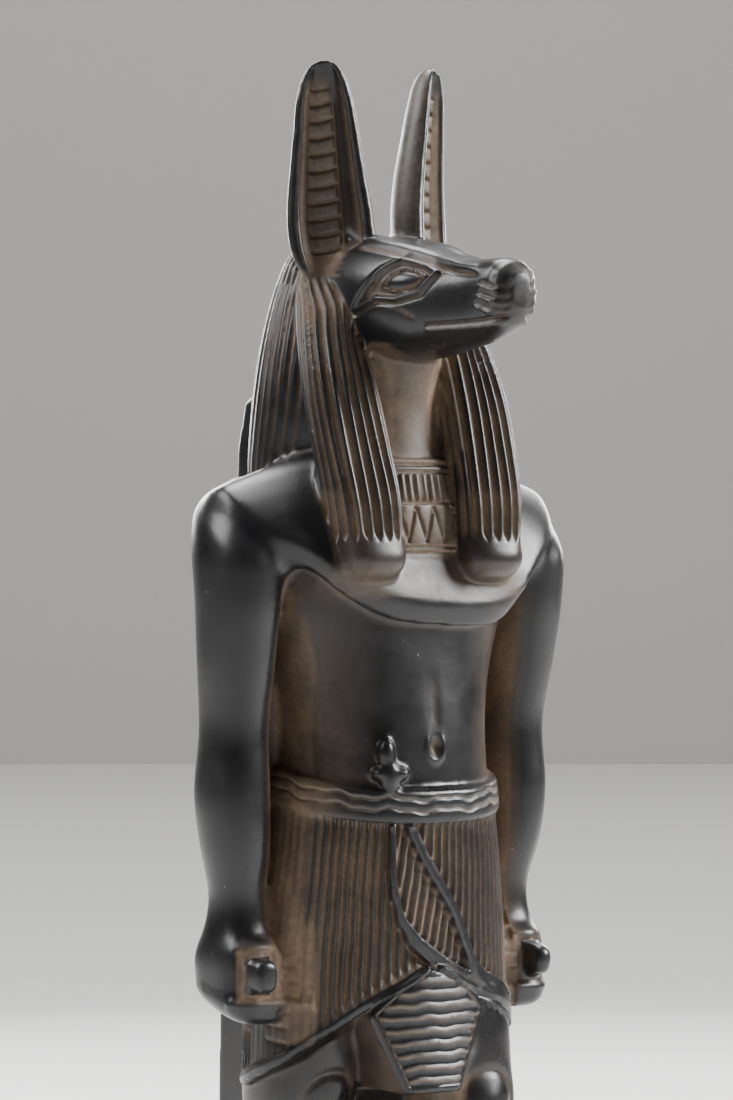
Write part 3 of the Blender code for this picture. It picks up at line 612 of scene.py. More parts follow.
def bead(centre, halves):
    """A rounded lump with its own half sizes across, forward and up."""
    angles = np.linspace(0.15, math.pi - 0.15, 14)
    turns = np.linspace(0, 2 * math.pi, 24, endpoint=False)
    rings = []
    for angle in angles:
        across = centre[0] + halves[0] * math.sin(angle) * np.cos(turns)
        along = centre[1] + halves[1] * math.sin(angle) * np.sin(turns)
        up = np.full(len(turns), centre[2] - halves[2] * math.cos(angle))
        rings.append(np.stack((across, along, up), axis=-1))
    return body(rings)


def knot():
    """The belt's knot: an upright loop over two lobes."""
    made = []
    for turn, height, across, tall in KNOT:
        centre = skin(TORSO, math.radians(turn), height, 0.25)
        made.append(bead(centre, (across, 0.75, tall)))
    return made


def head():
    forwards = np.arange(HEAD[0][0], HEAD[-1][0] + 0.1, 0.2)
    turns = np.linspace(0, 2 * math.pi, 96, endpoint=False)
    rings = []
    for forward, (middle, half_width, above, below, squareness) in zip(forwards, read(HEAD, forwards)):
        reach = np.where(np.sin(turns) > 0, above, below)
        side = half_width * power(np.cos(turns), 2 / squareness)
        up = middle + reach * power(np.sin(turns), 2 / squareness)
        rings.append(np.stack((side, np.full(96, forward), up), axis=-1))
    return body(rings)


def ear(mirror):
    """One ear: a rounded back and a hollow front inside a raised rim."""
    heights = np.linspace(EAR[0][0], EAR[-1][0], 60)
    rings = []
    for height, (side, forward, half_width, depth, hollow) in zip(heights, read(EAR, heights)):
        angles = np.pi * (1 + np.linspace(0, 1, 30))
        across = half_width * np.cos(angles)
        ahead = depth * np.sin(angles)
        inner = np.linspace(0.985, -0.985, 43)
        rim = min(EAR_RIM, half_width / 2)
        lip = rim * np.sqrt(np.maximum(0, 1 - ((np.abs(inner) - 0.8) / 0.2) ** 2))
        bowl = hollow * (1 - np.minimum(1, np.abs(inner) / EAR_BOWL) ** 3)
        across = np.concatenate((across, half_width * inner))
        ahead = np.concatenate((ahead, lip - bowl))
        out = across * math.cos(EAR_TURN) + ahead * math.sin(EAR_TURN)
        on = ahead * math.cos(EAR_TURN) - across * math.sin(EAR_TURN)
        rings.append(np.stack((mirror * (side + out), forward + on, np.full(len(on), height)), axis=-1))
    return body(rings)


def peg(mirror):
    """The short peg that the fist holds."""
    turns = np.linspace(0, 2 * math.pi, 32, endpoint=False)
    rings = []
    for forward, share in ((-4.5, 0.6), (-4.3, 0.8), (2.9, 0.95)) + PEG_ENDS[mirror]:
        side = PEG_SIDE + PEG_HALF_WIDTH * share * power(np.cos(turns), 0.6)
        up = PEG_UP + PEG_HALF_HEIGHT * share * power(np.sin(turns), 0.6)
        rings.append(np.stack((mirror * side, np.full(32, forward), up), axis=-1))
    return body(rings)


def base():
    bpy.ops.mesh.primitive_cube_add(size=1, location=(0, 0, BASE_HEIGHT / 2))
    made = bpy.context.object
    made.scale = (BASE_WIDTH, BASE_LENGTH, BASE_HEIGHT)
    bpy.ops.object.transform_apply(location=True, rotation=False, scale=True)
    edge = made.modifiers.new("edge", "BEVEL")
    edge.width = BASE_EDGE
    edge.segments = 3
    bpy.ops.object.modifier_apply(modifier=edge.name)
    return made


def casting():
    """All the forms, fused into one skin."""
    forms = [base(), level_body(TORSO, 160), yoke(), level_body(NECK), arm_web(), pillar(), leg_web()]
    forms += [level_body(ARM, 96), level_body(ARM, 96, mirror=-1)]
    forms += [leg(-1, REAR_LEG_LINE), leg(1, LEADING_LEG_LINE)]
    forms += foot(-1, REAR_ANKLE) + foot(1, LEADING_ANKLE)
    forms += [kilt(), belt(), tab(), level_body(WIG, 160)]
    forms += [level_body(LAPPET), level_body(LAPPET, mirror=-1)]
    forms += knot() + [head(), ear(1), ear(-1), peg(1), peg(-1)]
    bpy.ops.object.select_all(action="DESELECT")
    for form in forms:
        form.select_set(True)
    bpy.context.view_layer.objects.active = forms[0]
    bpy.ops.object.join()
    figure = bpy.context.object
    figure.name = "anubis_casting"
    fuse = figure.modifiers.new("fuse", "REMESH")
    fuse.mode = "VOXEL"
    fuse.voxel_size = CELL
    bpy.ops.object.modifier_apply(modifier=fuse.name)
    return figure


# Carving


class Surface:
    """The casting's points in figure units, with what the carving does to them."""

    def __init__(self, mesh):
        count = len(mesh.vertices)
        self.points = np.empty(count * 3)
        mesh.vertices.foreach_get("co", self.points)
        self.points = self.points.reshape(-1, 3)
        edges = np.empty(len(mesh.edges) * 2, np.int32)
        mesh.edges.foreach_get("vertices", edges)
        self.ends = edges.reshape(-1, 2)
        self.degree = np.bincount(self.ends.ravel(), minlength=count).astype(float)
        self.mesh = mesh
        self.lift = np.zeros(count)
        self.brown = np.zeros(count)
        self.pale = np.zeros(count)
        self.measure()

    def measure(self):
        self.side = self.points[:, 0] / PART
        self.forward = (AXIS_Y - self.points[:, 1]) / PART
        self.up = (self.points[:, 2] - BASE_HEIGHT) / PART
        normals = np.empty(len(self.points) * 3)
        self.mesh.vertices.foreach_get("normal", normals)
        self.normals = normals.reshape(-1, 3)

    def mean(self, values):
        """Each point's neighbours' mean."""
        first, second = self.ends.T
        count = len(self.points)
        total = np.bincount(first, values[second], count) + np.bincount(second, values[first], count)
        return total / self.degree

    def spread(self, values, rounds):
        for _ in range(rounds):
            values = (values + self.mean(values)) / 2
        return values

    def relax(self, rounds, strength=None):
        """Softens the skin where strength (0 to 1) says."""
        strength = 1.0 if strength is None else strength[:, None]
        for _ in range(rounds):
            target = np.stack([self.mean(self.points[:, k]) for k in range(3)], axis=-1)
            self.points += (target - self.points) * 0.5 * strength
        self.store()

    def store(self):
        self.mesh.vertices.foreach_set("co", self.points.ravel())
        self.mesh.update()
        self.measure()

    def carve(self):
        """Moves every point along its normal by the lift gathered so far."""
        self.points += self.normals * (self.lift * PART)[:, None]
        self.lift[:] = 0
        self.store()


def carve_belly(s):
    """The soft groove down the belly, and the navel's rim."""
    off, _ = around(TORSO, s.side, s.forward, s.up)
    front = (np.abs(off) < 0.8) & (s.forward > 3) & (s.up > 48) & (s.up < 60)
    line = bump(s.side - 0.45, 0.5) * soft(s.up, 51.5, 53) * (1 - soft(s.up, 53.5, 57.0))
    from_navel = np.hypot(s.side - 0.45, (s.up - 50.9) / 1.35)
    navel = bump(from_navel, 0.42)
    rim = bump(from_navel - 0.72, 0.2) * (1 - soft(s.up, 51.0, 52.2))
    s.lift[front] += (0.16 * rim - 0.12 * line - 0.42 * navel)[front]
    s.brown[front] += (0.5 * navel + 0.2 * line * bump(s.side - 0.45, 0.3))[front]


def kilt_place(s):
    """Distance off the kilt's surface, its turn, and the distance round it from the front."""
    off, turn = around(KILT, s.side, s.forward, s.up)
    turns, lengths = girth(KILT, 38.0)
    return off, turn, np.interp(turn, turns, lengths), lambda path: [
        (float(np.interp(math.radians(a), turns, lengths)), u) for a, u in path
    ]


def carve_kilt(s):
    """Pleats, hem, the crossing bands and the ribbed leaf between them."""
    off, turn, round_, path_of = kilt_place(s)
    hem = hem_height(turn)
    belt_top = BELT_TOP - BELT_DIP * np.maximum(0, np.cos(turn))
    above = s.up - hem
    cloth = (np.abs(off) < 0.55) & (above > 0.0) & (s.up < belt_top - BELT_DEPTH + 0.1)
    over, under = path_of(OVER_BAND), path_of(UNDER_BAND)
    at, up = round_[cloth], s.up[cloth]
    to_over, to_under = to_path(at, up, over), to_path(at, up, under)
    leaf = inside(at, up, under + over[::-1])
    hand = 0.025 * np.sin(up * 0.9 + at * 0.7) + 0.015 * np.sin(up * 2.3 + at * 1.9)
    fade = 0.12 + 0.88 * soft(at + 0.06 * (up - 40), -9.9, -7.6)
    fade *= 0.55 + 0.45 * (1 - soft(at, 7.0, 10.0))
    fade = np.maximum(fade, 0.8 * soft(np.abs(at), 13.5, 15.5)) * soft(above[cloth], 0.75, 1.7)
    ridge = bump(from_nearest(at + hand, PLEAT_PITCH), 0.17)
    rib = bump(from_nearest(at * 0.985 - up * 0.17 + hand, LEAF_RIB_PITCH), 0.22)
    half_over = 0.4 + 0.35 * (1 - soft(up, 34.2, 36.0))
    half_under = 0.26 + 0.34 * (1 - soft(up, 36.0, 39.5))
    plain = 1 - soft(above[cloth], 0.6, 0.76)
    on_over = 1 - soft(to_over, half_over - 0.1, half_over + 0.14)
    on_under = 1 - soft(to_under, half_under - 0.1, half_under + 0.14)
    on_band = np.maximum(on_over, on_under)
    free = (1 - plain) * (1 - on_band)
    lift = -0.32 * (1 - ridge) * fade * free * ~leaf
    lift += (0.02 - 0.3 * (1 - rib) * (1 - on_band)) * leaf
    lift += 0.3 * on_band + 0.12 * plain * (1 - on_band)
    gap = np.minimum(to_over - half_over, to_under - half_under)
    beside = bump(gap - 0.2, 0.16) * (1 - on_band)
    s.lift[cloth] += lift - 0.12 * beside
    # Painted shade: the kilt's brown is thinned to near black below the arm, where its shadow falls
    shade_under_arm = (1 - soft(at, -10.2, -8.6)) * (1 - soft(up, 32.5, 35.0))
    tone = np.where(leaf, 0.05 + 0.85 * rib, 0.1 + 0.72 * (1 - ridge) * (0.5 + 0.5 * fade))
    tone = tone * (1 - 0.75 * shade_under_arm)
    s.brown[cloth] += tone * free + 0.3 * beside * free - 0.3 * on_band - 0.3 * plain
    s.pale[cloth] += 0.16 * rib * leaf * free


def carve_belt(s):
    """Two wavy lines along the belt."""
    off, turn, round_, _ = kilt_place(s)
    top = BELT_TOP - BELT_DIP * np.maximum(0, np.cos(turn))
    share = (s.up - top + BELT_DEPTH) / BELT_DEPTH
    belt_face = (off > -0.2) & (off < 0.8) & (share > 0.02) & (share < 0.98)
    wave = 0.05 * np.sin(round_ * 1.35) + 0.03 * np.sin(round_ * 3.1 + 1.0)
    upper = bump((share - 0.74 - wave) * BELT_DEPTH, 0.11)
    lower = bump((share - 0.42 - wave) * BELT_DEPTH, 0.11)
    line = np.maximum(upper, lower)
    s.lift[belt_face] -= (0.15 * line)[belt_face]
    s.brown[belt_face] += (0.6 * line - 0.15 + 0.35 * (1 - soft(round_, -9.5, -7.5)))[belt_face]
    s.pale[belt_face] += (0.35 * line)[belt_face]


def carve_tab(s):
    """Nine grooves across the tab, inside its smooth border."""
    half = np.interp(s.up, *zip(*TAB))
    front = s.forward - (TAB_FRONT - TAB_CURVE * s.side**2)
    face = (np.abs(front) < 0.5) & (np.abs(s.side) < half) & (s.up > 26.2) & (s.up < 35.3)
    edge = half - np.abs(s.side)
    low = soft(s.up, 26.85, 27.0)
    field = soft(edge, 0.48, 0.62) * low
    wobble = 0.05 * np.sin(s.side * 1.7) + 0.04 * np.sin(s.side * 3.1 + s.up)
    groove = bump(from_nearest(s.up + wobble - 27.35, TAB_GROOVE_PITCH), 0.15)
    rim = bump(edge - 0.52, 0.1) * low
    s.lift[face] += (0.16 * groove * field - 0.1 * field - 0.1 * rim)[face]
    s.brown[face] += (0.9 * groove * field + 0.3 * rim - 0.4 * (1 - groove) * field)[face]
    s.pale[face] += (0.25 * groove * field)[face]
    side_wall = (np.abs(s.side) < half + 1.0) & (s.up > 25) & (s.up < 35.5)
    side_wall &= (front < -0.4) & (s.forward > 1.0)
    s.brown[side_wall] += np.where(s.side > 0, 0.7, 0.3)[side_wall]


def carve_wig(s):
    """Long grooves down the wig's back and both front lengths."""
    for mirror in (1, -1):
        off, turn = around(LAPPET, s.side * mirror, s.forward, s.up)
        turns, lengths = girth(LAPPET, 70.0)
        at = np.interp(turn, turns, lengths)
        outward = s.normals[:, 0] * mirror * np.sin(turn) - s.normals[:, 1] * np.cos(turn)
        facing = soft(np.cos(turn), -0.55, -0.25) * soft(outward, 0.3, 0.6)
        length = (np.abs(off) < 0.55) & (s.up > 64.0) & (s.up < 85.6) & (facing > 0)
        facing *= 1 - soft(s.up, 83.4, 84.6)
        phase = at / LAPPET_GROOVE_PITCH + 0.5
        low = 65.3 + 0.35 * np.cos(np.pi * (phase - np.floor(phase) - 0.5))
        groove = bump((phase - np.round(phase)) * LAPPET_GROOVE_PITCH, 0.24)
        groove = groove * soft(s.up, low, low + 0.8) * facing
        s.lift[length] -= (0.42 * groove)[length]
        under_ear = 0.45 * soft(s.up, 79.5, 82.5)
        s.brown[length] += (0.95 * groove - 0.12 * facing * (1 - groove) + under_ear)[length]
    off, turn = around(WIG, s.side, s.forward, s.up)
    turns, lengths = girth(WIG, 76.0)
    at = np.interp(turn, turns, lengths)
    outward = s.normals[:, 0] * np.sin(turn) - s.normals[:, 1] * np.cos(turn)
    mass = (np.abs(off) < 0.6) & (s.up > 62.5) & (np.cos(turn) < 0.55) & (s.forward < 2.5)
    mass &= (outward > 0.35) | (s.up > 84)
    shown = (0.35 + 0.65 * soft(s.up, 72, 82)) * (1 - soft(s.up, 86.8, 87.6))
    groove = bump(from_nearest(at, WIG_GROOVE_PITCH), 0.22) * shown
    s.lift[mass] -= (0.22 * groove)[mass]
    s.brown[mass] += (0.5 * groove)[mass]


def carve_collar(s):
    """The broad collar between the wig's lengths: lines, bars and a row of triangles."""
    off, _ = around(TORSO, s.side, s.forward, s.up)
    between = np.abs(s.side) < 2.95 + 0.1 * (s.up - COLLAR_BOTTOM)
    chest = between & (off > -0.6) & (off < 0.9) & (s.forward > 3.2)
    chest &= (s.up > COLLAR_BOTTOM - 0.3) & (s.up < COLLAR_TOP + 0.3)
    for mirror in (1, -1):
        chest &= around(LAPPET, s.side * mirror, s.forward, s.up)[0] > 0.12
    side, up = s.side[chest], s.up[chest]
    line = np.zeros(len(side))
    for height in (70.9, 70.35, 68.2, 65.05, 64.7):
        line = np.maximum(line, bump(up - height, 0.1))
    bar = bump(from_nearest(side, COLLAR_BAR_PITCH), 0.11)
    line = np.maximum(line, bar * (up > 68.3) * (up < 70.2))
    zig = side / COLLAR_TRIANGLE_WIDTH
    slope = 65.4 + 5.2 * np.abs(zig - np.round(zig))
    line = np.maximum(line, bump((up - slope) * 0.3, 0.09) * (up > 65.3) * (up < 68.0))
    s.lift[chest] += 0.16 * soft(up, 64.5, 64.8) - 0.24 * line
    s.brown[chest] += 0.8 * line + 0.3
    s.pale[chest] += 0.25 * line


def carve_face(s):
    """Brow, eye, cheek and mouth, the same on both sides of the head."""
    face = (s.forward > 1.0) & (s.up > 78.0) & (s.up < 87.6) & (np.abs(s.side) < 5.2)
    at, up = s.forward[face], s.up[face]
    out = np.abs(s.side[face])
    sideways = soft(out, 0.5, 1.1)
    lift = np.zeros(len(at))
    brown = np.zeros(len(at))
    brow = to_path(at, up, BROW)
    shown = soft(at, 1.8, 3.2) * (1 - soft(at, 13.5, 15.2))
    under = to_path(at, up, lowered(BROW, 0.42))
    lift += (0.2 * bump(brow, 0.26) - 0.24 * bump(under, 0.17)) * shown
    brown += 0.55 * bump(under, 0.15) * shown
    lids = inside(at, up, UPPER_LID + LOWER_LID[1:-1])
    rim = np.minimum(to_path(at, up, UPPER_LID), to_path(at, up, LOWER_LID))
    eye = inside(at, up, EYE)
    eye_edge = to_path(at, up, EYE + EYE[:1])
    lift += 0.24 * bump(rim, 0.17) - 0.14 * bump(rim - 0.34, 0.14) * ~lids
    lift -= 0.22 * lids * soft(rim, 0.12, 0.3)
    brown += 0.75 * lids * soft(rim, 0.12, 0.28) + 0.3 * bump(rim - 0.32, 0.12) * ~lids
    lift += 0.24 * bump(eye_edge, 0.15) * ~eye - 0.16 * bump(eye_edge, 0.1) * eye
    brown -= 0.6 * bump(eye_edge - 0.08, 0.14) * ~eye
    ball = 1 - np.clip(np.hypot((at - 8.25) / 1.6, (up - 83.72) / 0.85), 0, 1) ** 2
    lift += 0.36 * ball * eye
    brown += 0.35 * bump(eye_edge - 0.06, 0.1) * eye
    brown -= 0.8 * eye * soft(eye_edge, 0.14, 0.24)
    cheek = to_path(at, up, CHEEK)
    lift -= 0.06 * bump(cheek, 0.2)
    brown += 0.2 * bump(cheek, 0.25)
    mouth = to_path(at, up, MOUTH)
    lift -= 0.32 * bump(mouth, 0.13)
    brown += 0.6 * bump(mouth, 0.16)
    lip = to_path(at, up, lowered(MOUTH, 0.3))
    lift += 0.12 * bump(lip, 0.16)
    at_front = soft(at, 15.6, 16.6)
    lip_edge = bump(to_path(at, up, lowered(MOUTH, 0.16)), 0.15)
    s.pale[face] += (0.8 - 0.65 * at_front) * lip_edge
    nose = soft(at - 0.3 * (up - 83.2), 15.85, 16.2) * soft(up, 80.9, 81.3)
    grain = np.sin(at * 6.1 + up * 3.3) * np.sin(up * 5.7 - s.side[face] * 4.9)
    lift += nose * 0.05 * grain
    s.pale[face] += nose * (0.1 + 0.12 * grain)
    lift -= 0.06 * bump(at - 0.3 * (up - 83.2) - 15.85, 0.2) * soft(up, 80.9, 81.5)
    for stroke in WHISKERS:
        line = bump(to_path(at, up, stroke), 0.11)
        lift += 0.12 * bump(to_path(at, up, lowered(stroke, 0.24)), 0.12)
        lift -= 0.16 * line
        s.pale[face] += 0.8 * line * sideways
    s.lift[face] += lift * sideways
    s.brown[face] += brown * sideways


def carve_ears(s):
    """Short notches up the outer half of each hollow, and a small knob at its foot."""
    for mirror in (1, -1):
        side, forward, half_width = np.moveaxis(read(EAR, s.up), -1, 0)[:3]
        out = s.side * mirror - side
        on = s.forward - forward
        across = out * math.cos(EAR_TURN) - on * math.sin(EAR_TURN)
        ahead = out * math.sin(EAR_TURN) + on * math.cos(EAR_TURN)
        share = across / half_width
        bowl = (s.up > 84.3) & (s.up < 99) & (np.abs(share) < 0.8) & (ahead > -1.8) & (ahead < 0.45)
        bowl &= s.side * mirror > 0.5
        turned = s.normals[:, 0] * mirror * math.sin(EAR_TURN) - s.normals[:, 1] * math.cos(EAR_TURN)
        bowl &= turned > 0.0
        rows = s.up - 86.2 - 0.5 * (share - 0.3) ** 2 + 0.35 * share
        notch = bump(from_nearest(rows, EAR_NOTCH_PITCH), 0.17)
        strip = soft(share, -0.24, -0.16) * (1 - soft(share, 0.44, 0.54)) * soft(s.up, 85.6, 86.0)
        strip *= 1 - soft(s.up, 97.6, 98.0)
        channel = bump(share + 0.25, 0.05) * soft(s.up, 86, 87) * (1 - soft(s.up, 96, 97.5))
        border = bump(np.abs(share) - 0.64, 0.05) * (1 - soft(s.up, 97.4, 98.4))
        knob = bump(np.hypot(across + 0.42 * half_width, s.up - 87.0), 0.45)
        lift = 0.14 * strip - 0.34 * notch * strip - 0.12 * channel - 0.1 * border + 0.35 * knob
        s.lift[bowl] += lift[bowl]
        inner = 1 - soft(np.abs(share), 0.58, 0.7)
        s.pale[bowl] += (0.4 * strip * (1 - notch))[bowl]
        # Pale on the rims' inner edges: partly worn grey, partly a painted highlight standing in for the
        # bright edge the lamps don't give
        worn_and_highlit_rims = bowl & (np.abs(share) > 0.72)
        s.pale[worn_and_highlit_rims] += 0.3
        tone = 0.5 * soft(share, -0.28, -0.16) + 0.12 + 0.4 * (1 - soft(s.up, 85.5, 88.5))
        tone *= 1 - soft(s.up, 97.8, 99.0)
        brown = 0.5 * notch * strip + 0.3 * channel + 0.4 * border + tone * inner - 0.4 * knob
        s.brown[bowl] += brown[bowl]


def dust_ears(s):
    """The ears' inner sides are dull and greyish brown."""
    for mirror in (1, -1):
        inner = (s.side * mirror > 1.0) & (s.up > 86.0) & (s.up < 100)
        inner &= s.normals[:, 0] * mirror < -0.2
        share = soft(-s.normals[:, 0] * mirror, 0.2, 0.6) * (1 - 0.35 * soft(s.up, 86, 98))
        s.brown[inner] += (0.42 * share)[inner]
        s.pale[inner] += (0.5 * share)[inner]


def carve_limbs(s):
    """Knees, shins, and the fist folded round each peg."""
    for mirror, line in ((-1, REAR_LEG_LINE), (1, LEADING_LEG_LINE)):
        centre = np.interp(s.up, *zip(*line))
        near = (s.side * mirror > 1.0) & (s.side * mirror < 9.0)
        near &= (s.forward > centre + 1.5) & (s.up < 31)
        cap = np.hypot((s.side * mirror - 5.1) / 1.5, (s.up - 25.6) / 1.4)
        s.lift[near] += (0.3 * bump(cap, 0.85) - 0.16 * bump(cap - 1.45, 0.25))[near]
        s.brown[near] += (0.25 * bump(cap - 1.45, 0.25))[near]
        shin = bump(s.side * mirror - 5.1, 0.9) * soft(s.up, 5, 9) * (1 - soft(s.up, 21, 24))
        s.lift[near] += (0.2 * shin)[near]
    for mirror in (1, -1):
        fist = (s.up > 30) & (s.up < 38.5) & (np.abs(s.forward + 0.8) < 5)
        fist &= (s.side * mirror > 8.2) & (s.side * mirror < 15)
        around_peg = np.maximum(
            np.abs(s.side * mirror - PEG_SIDE) - PEG_HALF_WIDTH,
            np.abs(s.up - PEG_UP) - PEG_HALF_HEIGHT,
        )
        front = fist & (s.forward > 1.0)
        face = front & (around_peg > 0.04) & (s.normals[:, 1] < -0.55)
        ring = 1.0 if mirror < 0 else 0.35
        s.lift[face] -= (0.22 * ring * bump(around_peg - 0.22, 0.22))[face]
        s.brown[face] += (0.9 * ring * bump(around_peg - 0.25, 0.45))[face]
        s.brown[fist] += (0.5 * soft(-s.side * mirror, -10.6, -9.2))[fist]
        off, _ = around(ARM, s.side * mirror, s.forward, s.up)
        hand = fist & (np.abs(off) < 0.7) & (around_peg > 0.3)
        knuckle = s.up - 32.6 + 0.12 * s.forward
        folds = bump(from_nearest(knuckle, FINGER_PITCH), 0.13) * (1 - soft(s.up, 36.2, 36.8))
        palm = hand & (s.side * mirror < 10.6)
        s.lift[palm] -= (0.1 * folds)[palm]
        s.brown[palm] += (0.1 * folds)[palm]
        thumb = np.hypot((s.side * mirror - PEG_SIDE + 0.2) / 1.5, (s.up - PEG_UP - 1.75) / 0.7)
        over = front & (around_peg > 0.15)
        s.lift[over] += (0.3 * bump(thumb, 0.9))[over]
        palm_edge = front & (s.up < PEG_UP - PEG_HALF_HEIGHT)
        s.lift[palm_edge] += (0.18 * bump(s.up - 33.0, 0.4))[palm_edge]


HOLLOW_SCALES = ((6, 900.0), (30, 420.0), (110, 200.0))  # rounds of softening, weight of a metre's depth


def settle_dirt(s):
    """Brown lies in every hollow, and thinly on what is shaded by the arms, the wig and the kilt."""
    start = s.points.copy()
    moved = start.copy()
    hollows = np.zeros(len(start))
    done = 0
    for rounds, weight in HOLLOW_SCALES:
        for _ in range(rounds - done):
            moved += (np.stack([s.mean(moved[:, k]) for k in range(3)], axis=-1) - moved) * 0.8
        done = rounds
        depth = ((moved - start) * s.normals).sum(axis=1)
        hollows += np.clip(depth * weight, -0.5, 0.8)
    arm_side = np.abs(s.side)
    recess = (arm_side > 7.5) & (arm_side < 10.6) & (s.up > 33) & (s.up < 63)
    recess &= (s.forward > -2.5) & (s.forward < 3.2)
    s.brown += 0.4 * recess * (1 - 0.5 * soft(s.up, 58, 63))
    flank = soft(arm_side, 3.2, 7.6) * (arm_side < 9.0) * (s.up > 46) * (s.up < 63.4) * (s.forward > -1)
    s.brown += 0.4 * flank * (0.5 + 0.5 * (1 - soft(s.up, 48, 60)))
    inner_arm = (arm_side > 9.0) & (arm_side < 11.6) & (s.up > 34) & (s.up < 62) & (s.forward > -3.5)
    s.brown += 0.5 * inner_arm * (1 - soft(arm_side, 10.0, 11.6))
    chest_top = (s.up > 61.5) & (s.up < 69) & (arm_side < 8) & (s.forward > 3.5)
    s.brown += 0.26 * chest_top
    knees = (s.up < 31) & (s.up > 1) & (arm_side < 9) & (s.forward > -8)
    s.brown += 0.03 * knees
    neck_side = (arm_side > 1.5) & (arm_side < 4.8) & (s.up > 70.5) & (s.up < 79)
    neck_side &= (s.forward < 4.2) & (s.forward > -1)
    s.brown += 0.4 * neck_side
    throat = (arm_side < 3.6) & (s.up > 71) & (s.up < 79.5) & (s.forward > 0) & (s.forward < 6)
    s.brown += 0.5 * throat
    wear = np.clip(-hollows * 0.9, 0, 1)
    depth_of_dirt = np.where(s.forward > 5.5, 0.45, 0.7) * np.clip(hollows - 0.08, 0, 1)
    depth_of_dirt = np.where((s.up > 79) & (s.forward > 2.5), 0.15, 1.0) * depth_of_dirt
    s.brown = np.clip(s.spread(s.brown, 1) + depth_of_dirt - 0.3 * wear, 0, 1)
    s.pale = np.clip(s.spread(s.pale, 1), 0, 1)
    s.wear = s.spread(wear, 1)


def refine(figure, low, high):
    """Halves the cells of the skin inside a box of figure points."""
    mesh = figure.data
    corners = np.sort(place([low, high]), axis=0)
    centres = np.empty(len(mesh.polygons) * 3)
    mesh.polygons.foreach_get("center", centres)
    centres = centres.reshape(-1, 3)
    chosen = ((centres > corners[0]) & (centres < corners[1])).all(axis=1)
    mesh.polygons.foreach_set("select", chosen)
    bpy.ops.object.mode_set(mode="EDIT")
    bpy.ops.mesh.select_mode(type="FACE")
    bpy.ops.mesh.subdivide(number_cuts=1, quadcorner="INNERVERT", smoothness=0.0)
    bpy.ops.object.mode_set(mode="OBJECT")


def clear_selection(figure):
    for kind in (figure.data.vertices, figure.data.edges, figure.data.polygons):
        kind.foreach_set("select", np.zeros(len(kind), bool))


def keep(figure, name, values):
    layer = figure.data.attributes.new(name, "FLOAT", "POINT")
    layer.data.foreach_set("value", values.astype(np.float32))


FINE_REGIONS = (  # opposite corners, in figure points
    ((-5.4, 1.0, 77.5), (5.4, 18.0, 88.0)),
    ((-9.0, 1.0, 62.0), (9.0, 9.5, 77.5)),
    ((-11.5, -3.0, 25.0), (11.5, 9.5, 51.5)),
    ((-9.5, -4.0, 84.0), (9.5, 3.0, 100.5)),
)


def carved_figure():
    figure = casting()
    bpy.ops.object.select_all(action="DESELECT")
    figure.select_set(True)
    bpy.context.view_layer.objects.active = figure
    Surface(figure.data).relax(FUSED_SOFTENING)
    for low, high in FINE_REGIONS:
        clear_selection(figure)
        refine(figure, low, high)
    s = Surface(figure.data)
    s.relax(2)
    shoulders = soft(np.abs(s.side), 5.0, 7.5) * soft(s.up, 59, 62) * (1 - soft(s.up, 72, 74))
    arms = soft(np.abs(s.side), 8.5, 9.5) * soft(s.up, 37, 40) * (1 - soft(s.up, 72, 74))
    belly = (np.abs(s.side) < 8.6) & (s.up > 51.5) & (s.up < 58.5) & (s.forward > -3)
    s.relax(PLAIN_SOFTENING, np.maximum(np.maximum(shoulders, arms), belly))
    carve_belly(s)
    carve_limbs(s)
    s.carve()
    s.relax(2)
    carve_kilt(s)
    carve_belt(s)
    carve_tab(s)
    carve_wig(s)
    carve_collar(s)
    carve_face(s)
    carve_ears(s)
    dust_ears(s)
    s.carve()
    floor_side = s.points[:, 2] < BASE_EDGE
    s.points[floor_side, 2] = np.maximum(s.points[floor_side, 2], 0.0)
    s.store()
    settle_dirt(s)
    keep(figure, "brown", s.brown)
    keep(figure, "pale", s.pale)
    keep(figure, "wear", s.wear)
    triangles = sum(polygon.loop_total - 2 for polygon in figure.data.polygons)
    thin = figure.modifiers.new("thin", "DECIMATE")
    thin.ratio = FINISHED_TRIANGLES / triangles
    bpy.ops.object.modifier_apply(modifier=thin.name)
    bpy.ops.object.shade_smooth()
    return figure


# Finish

BLACK = (0.004, 0.004, 0.005)
THIN_BLACK = (0.011, 0.011, 0.012)
RUBBED_BLACK = (0.05, 0.05, 0.052)
DIRT = (0.09, 0.06, 0.038)
DRY_DIRT = (0.28, 0.195, 0.125)
DUST = (0.22, 0.18, 0.14)
# Pale grey of chalky dust, also used as a painted highlight on the ear rims
CHALK_AND_PAINTED_HIGHLIGHT = (0.2, 0.185, 0.165)


def link(tree, source, output, target, socket):
    tree.links.new(source.outputs[output], target.inputs[socket])


def ramp(tree, low, high, low_value=0.0, high_value=1.0):
    node = tree.nodes.new("ShaderNodeMapRange")
    for name, value in (("From Min", low), ("From Max", high)):
        node.inputs[name].default_value = value
    for name, value in (("To Min", low_value), ("To Max", high_value)):
        node.inputs[name].default_value = value
    return node


def noise(tree, coordinates, scale, detail=6.0, roughness=0.6):
    node = tree.nodes.new("ShaderNodeTexNoise")
    node.inputs["Scale"].default_value = scale
    node.inputs["Detail"].default_value = detail
    node.inputs["Roughness"].default_value = roughness
    link(tree, coordinates, "Object", node, "Vector")
    return node


def math_node(tree, operation, value=None, clamp=False):
    node = tree.nodes.new("ShaderNodeMath")
    node.operation = operation
    node.use_clamp = clamp
    if value is not None:
        node.inputs[1].default_value = value
    return node


def colour_mix(tree, first=None, second=None):
    """A mix of two colours; one that is left out is linked later."""
    node = tree.nodes.new("ShaderNodeMix")
    node.data_type = "RGBA"
    for socket, colour in (("A", first), ("B", second)):
        if colour is not None:
            node.inputs[socket].default_value = (*colour, 1)
    return node


def attribute(tree, name):
    node = tree.nodes.new("ShaderNodeAttribute")
    node.attribute_name = name
    return node


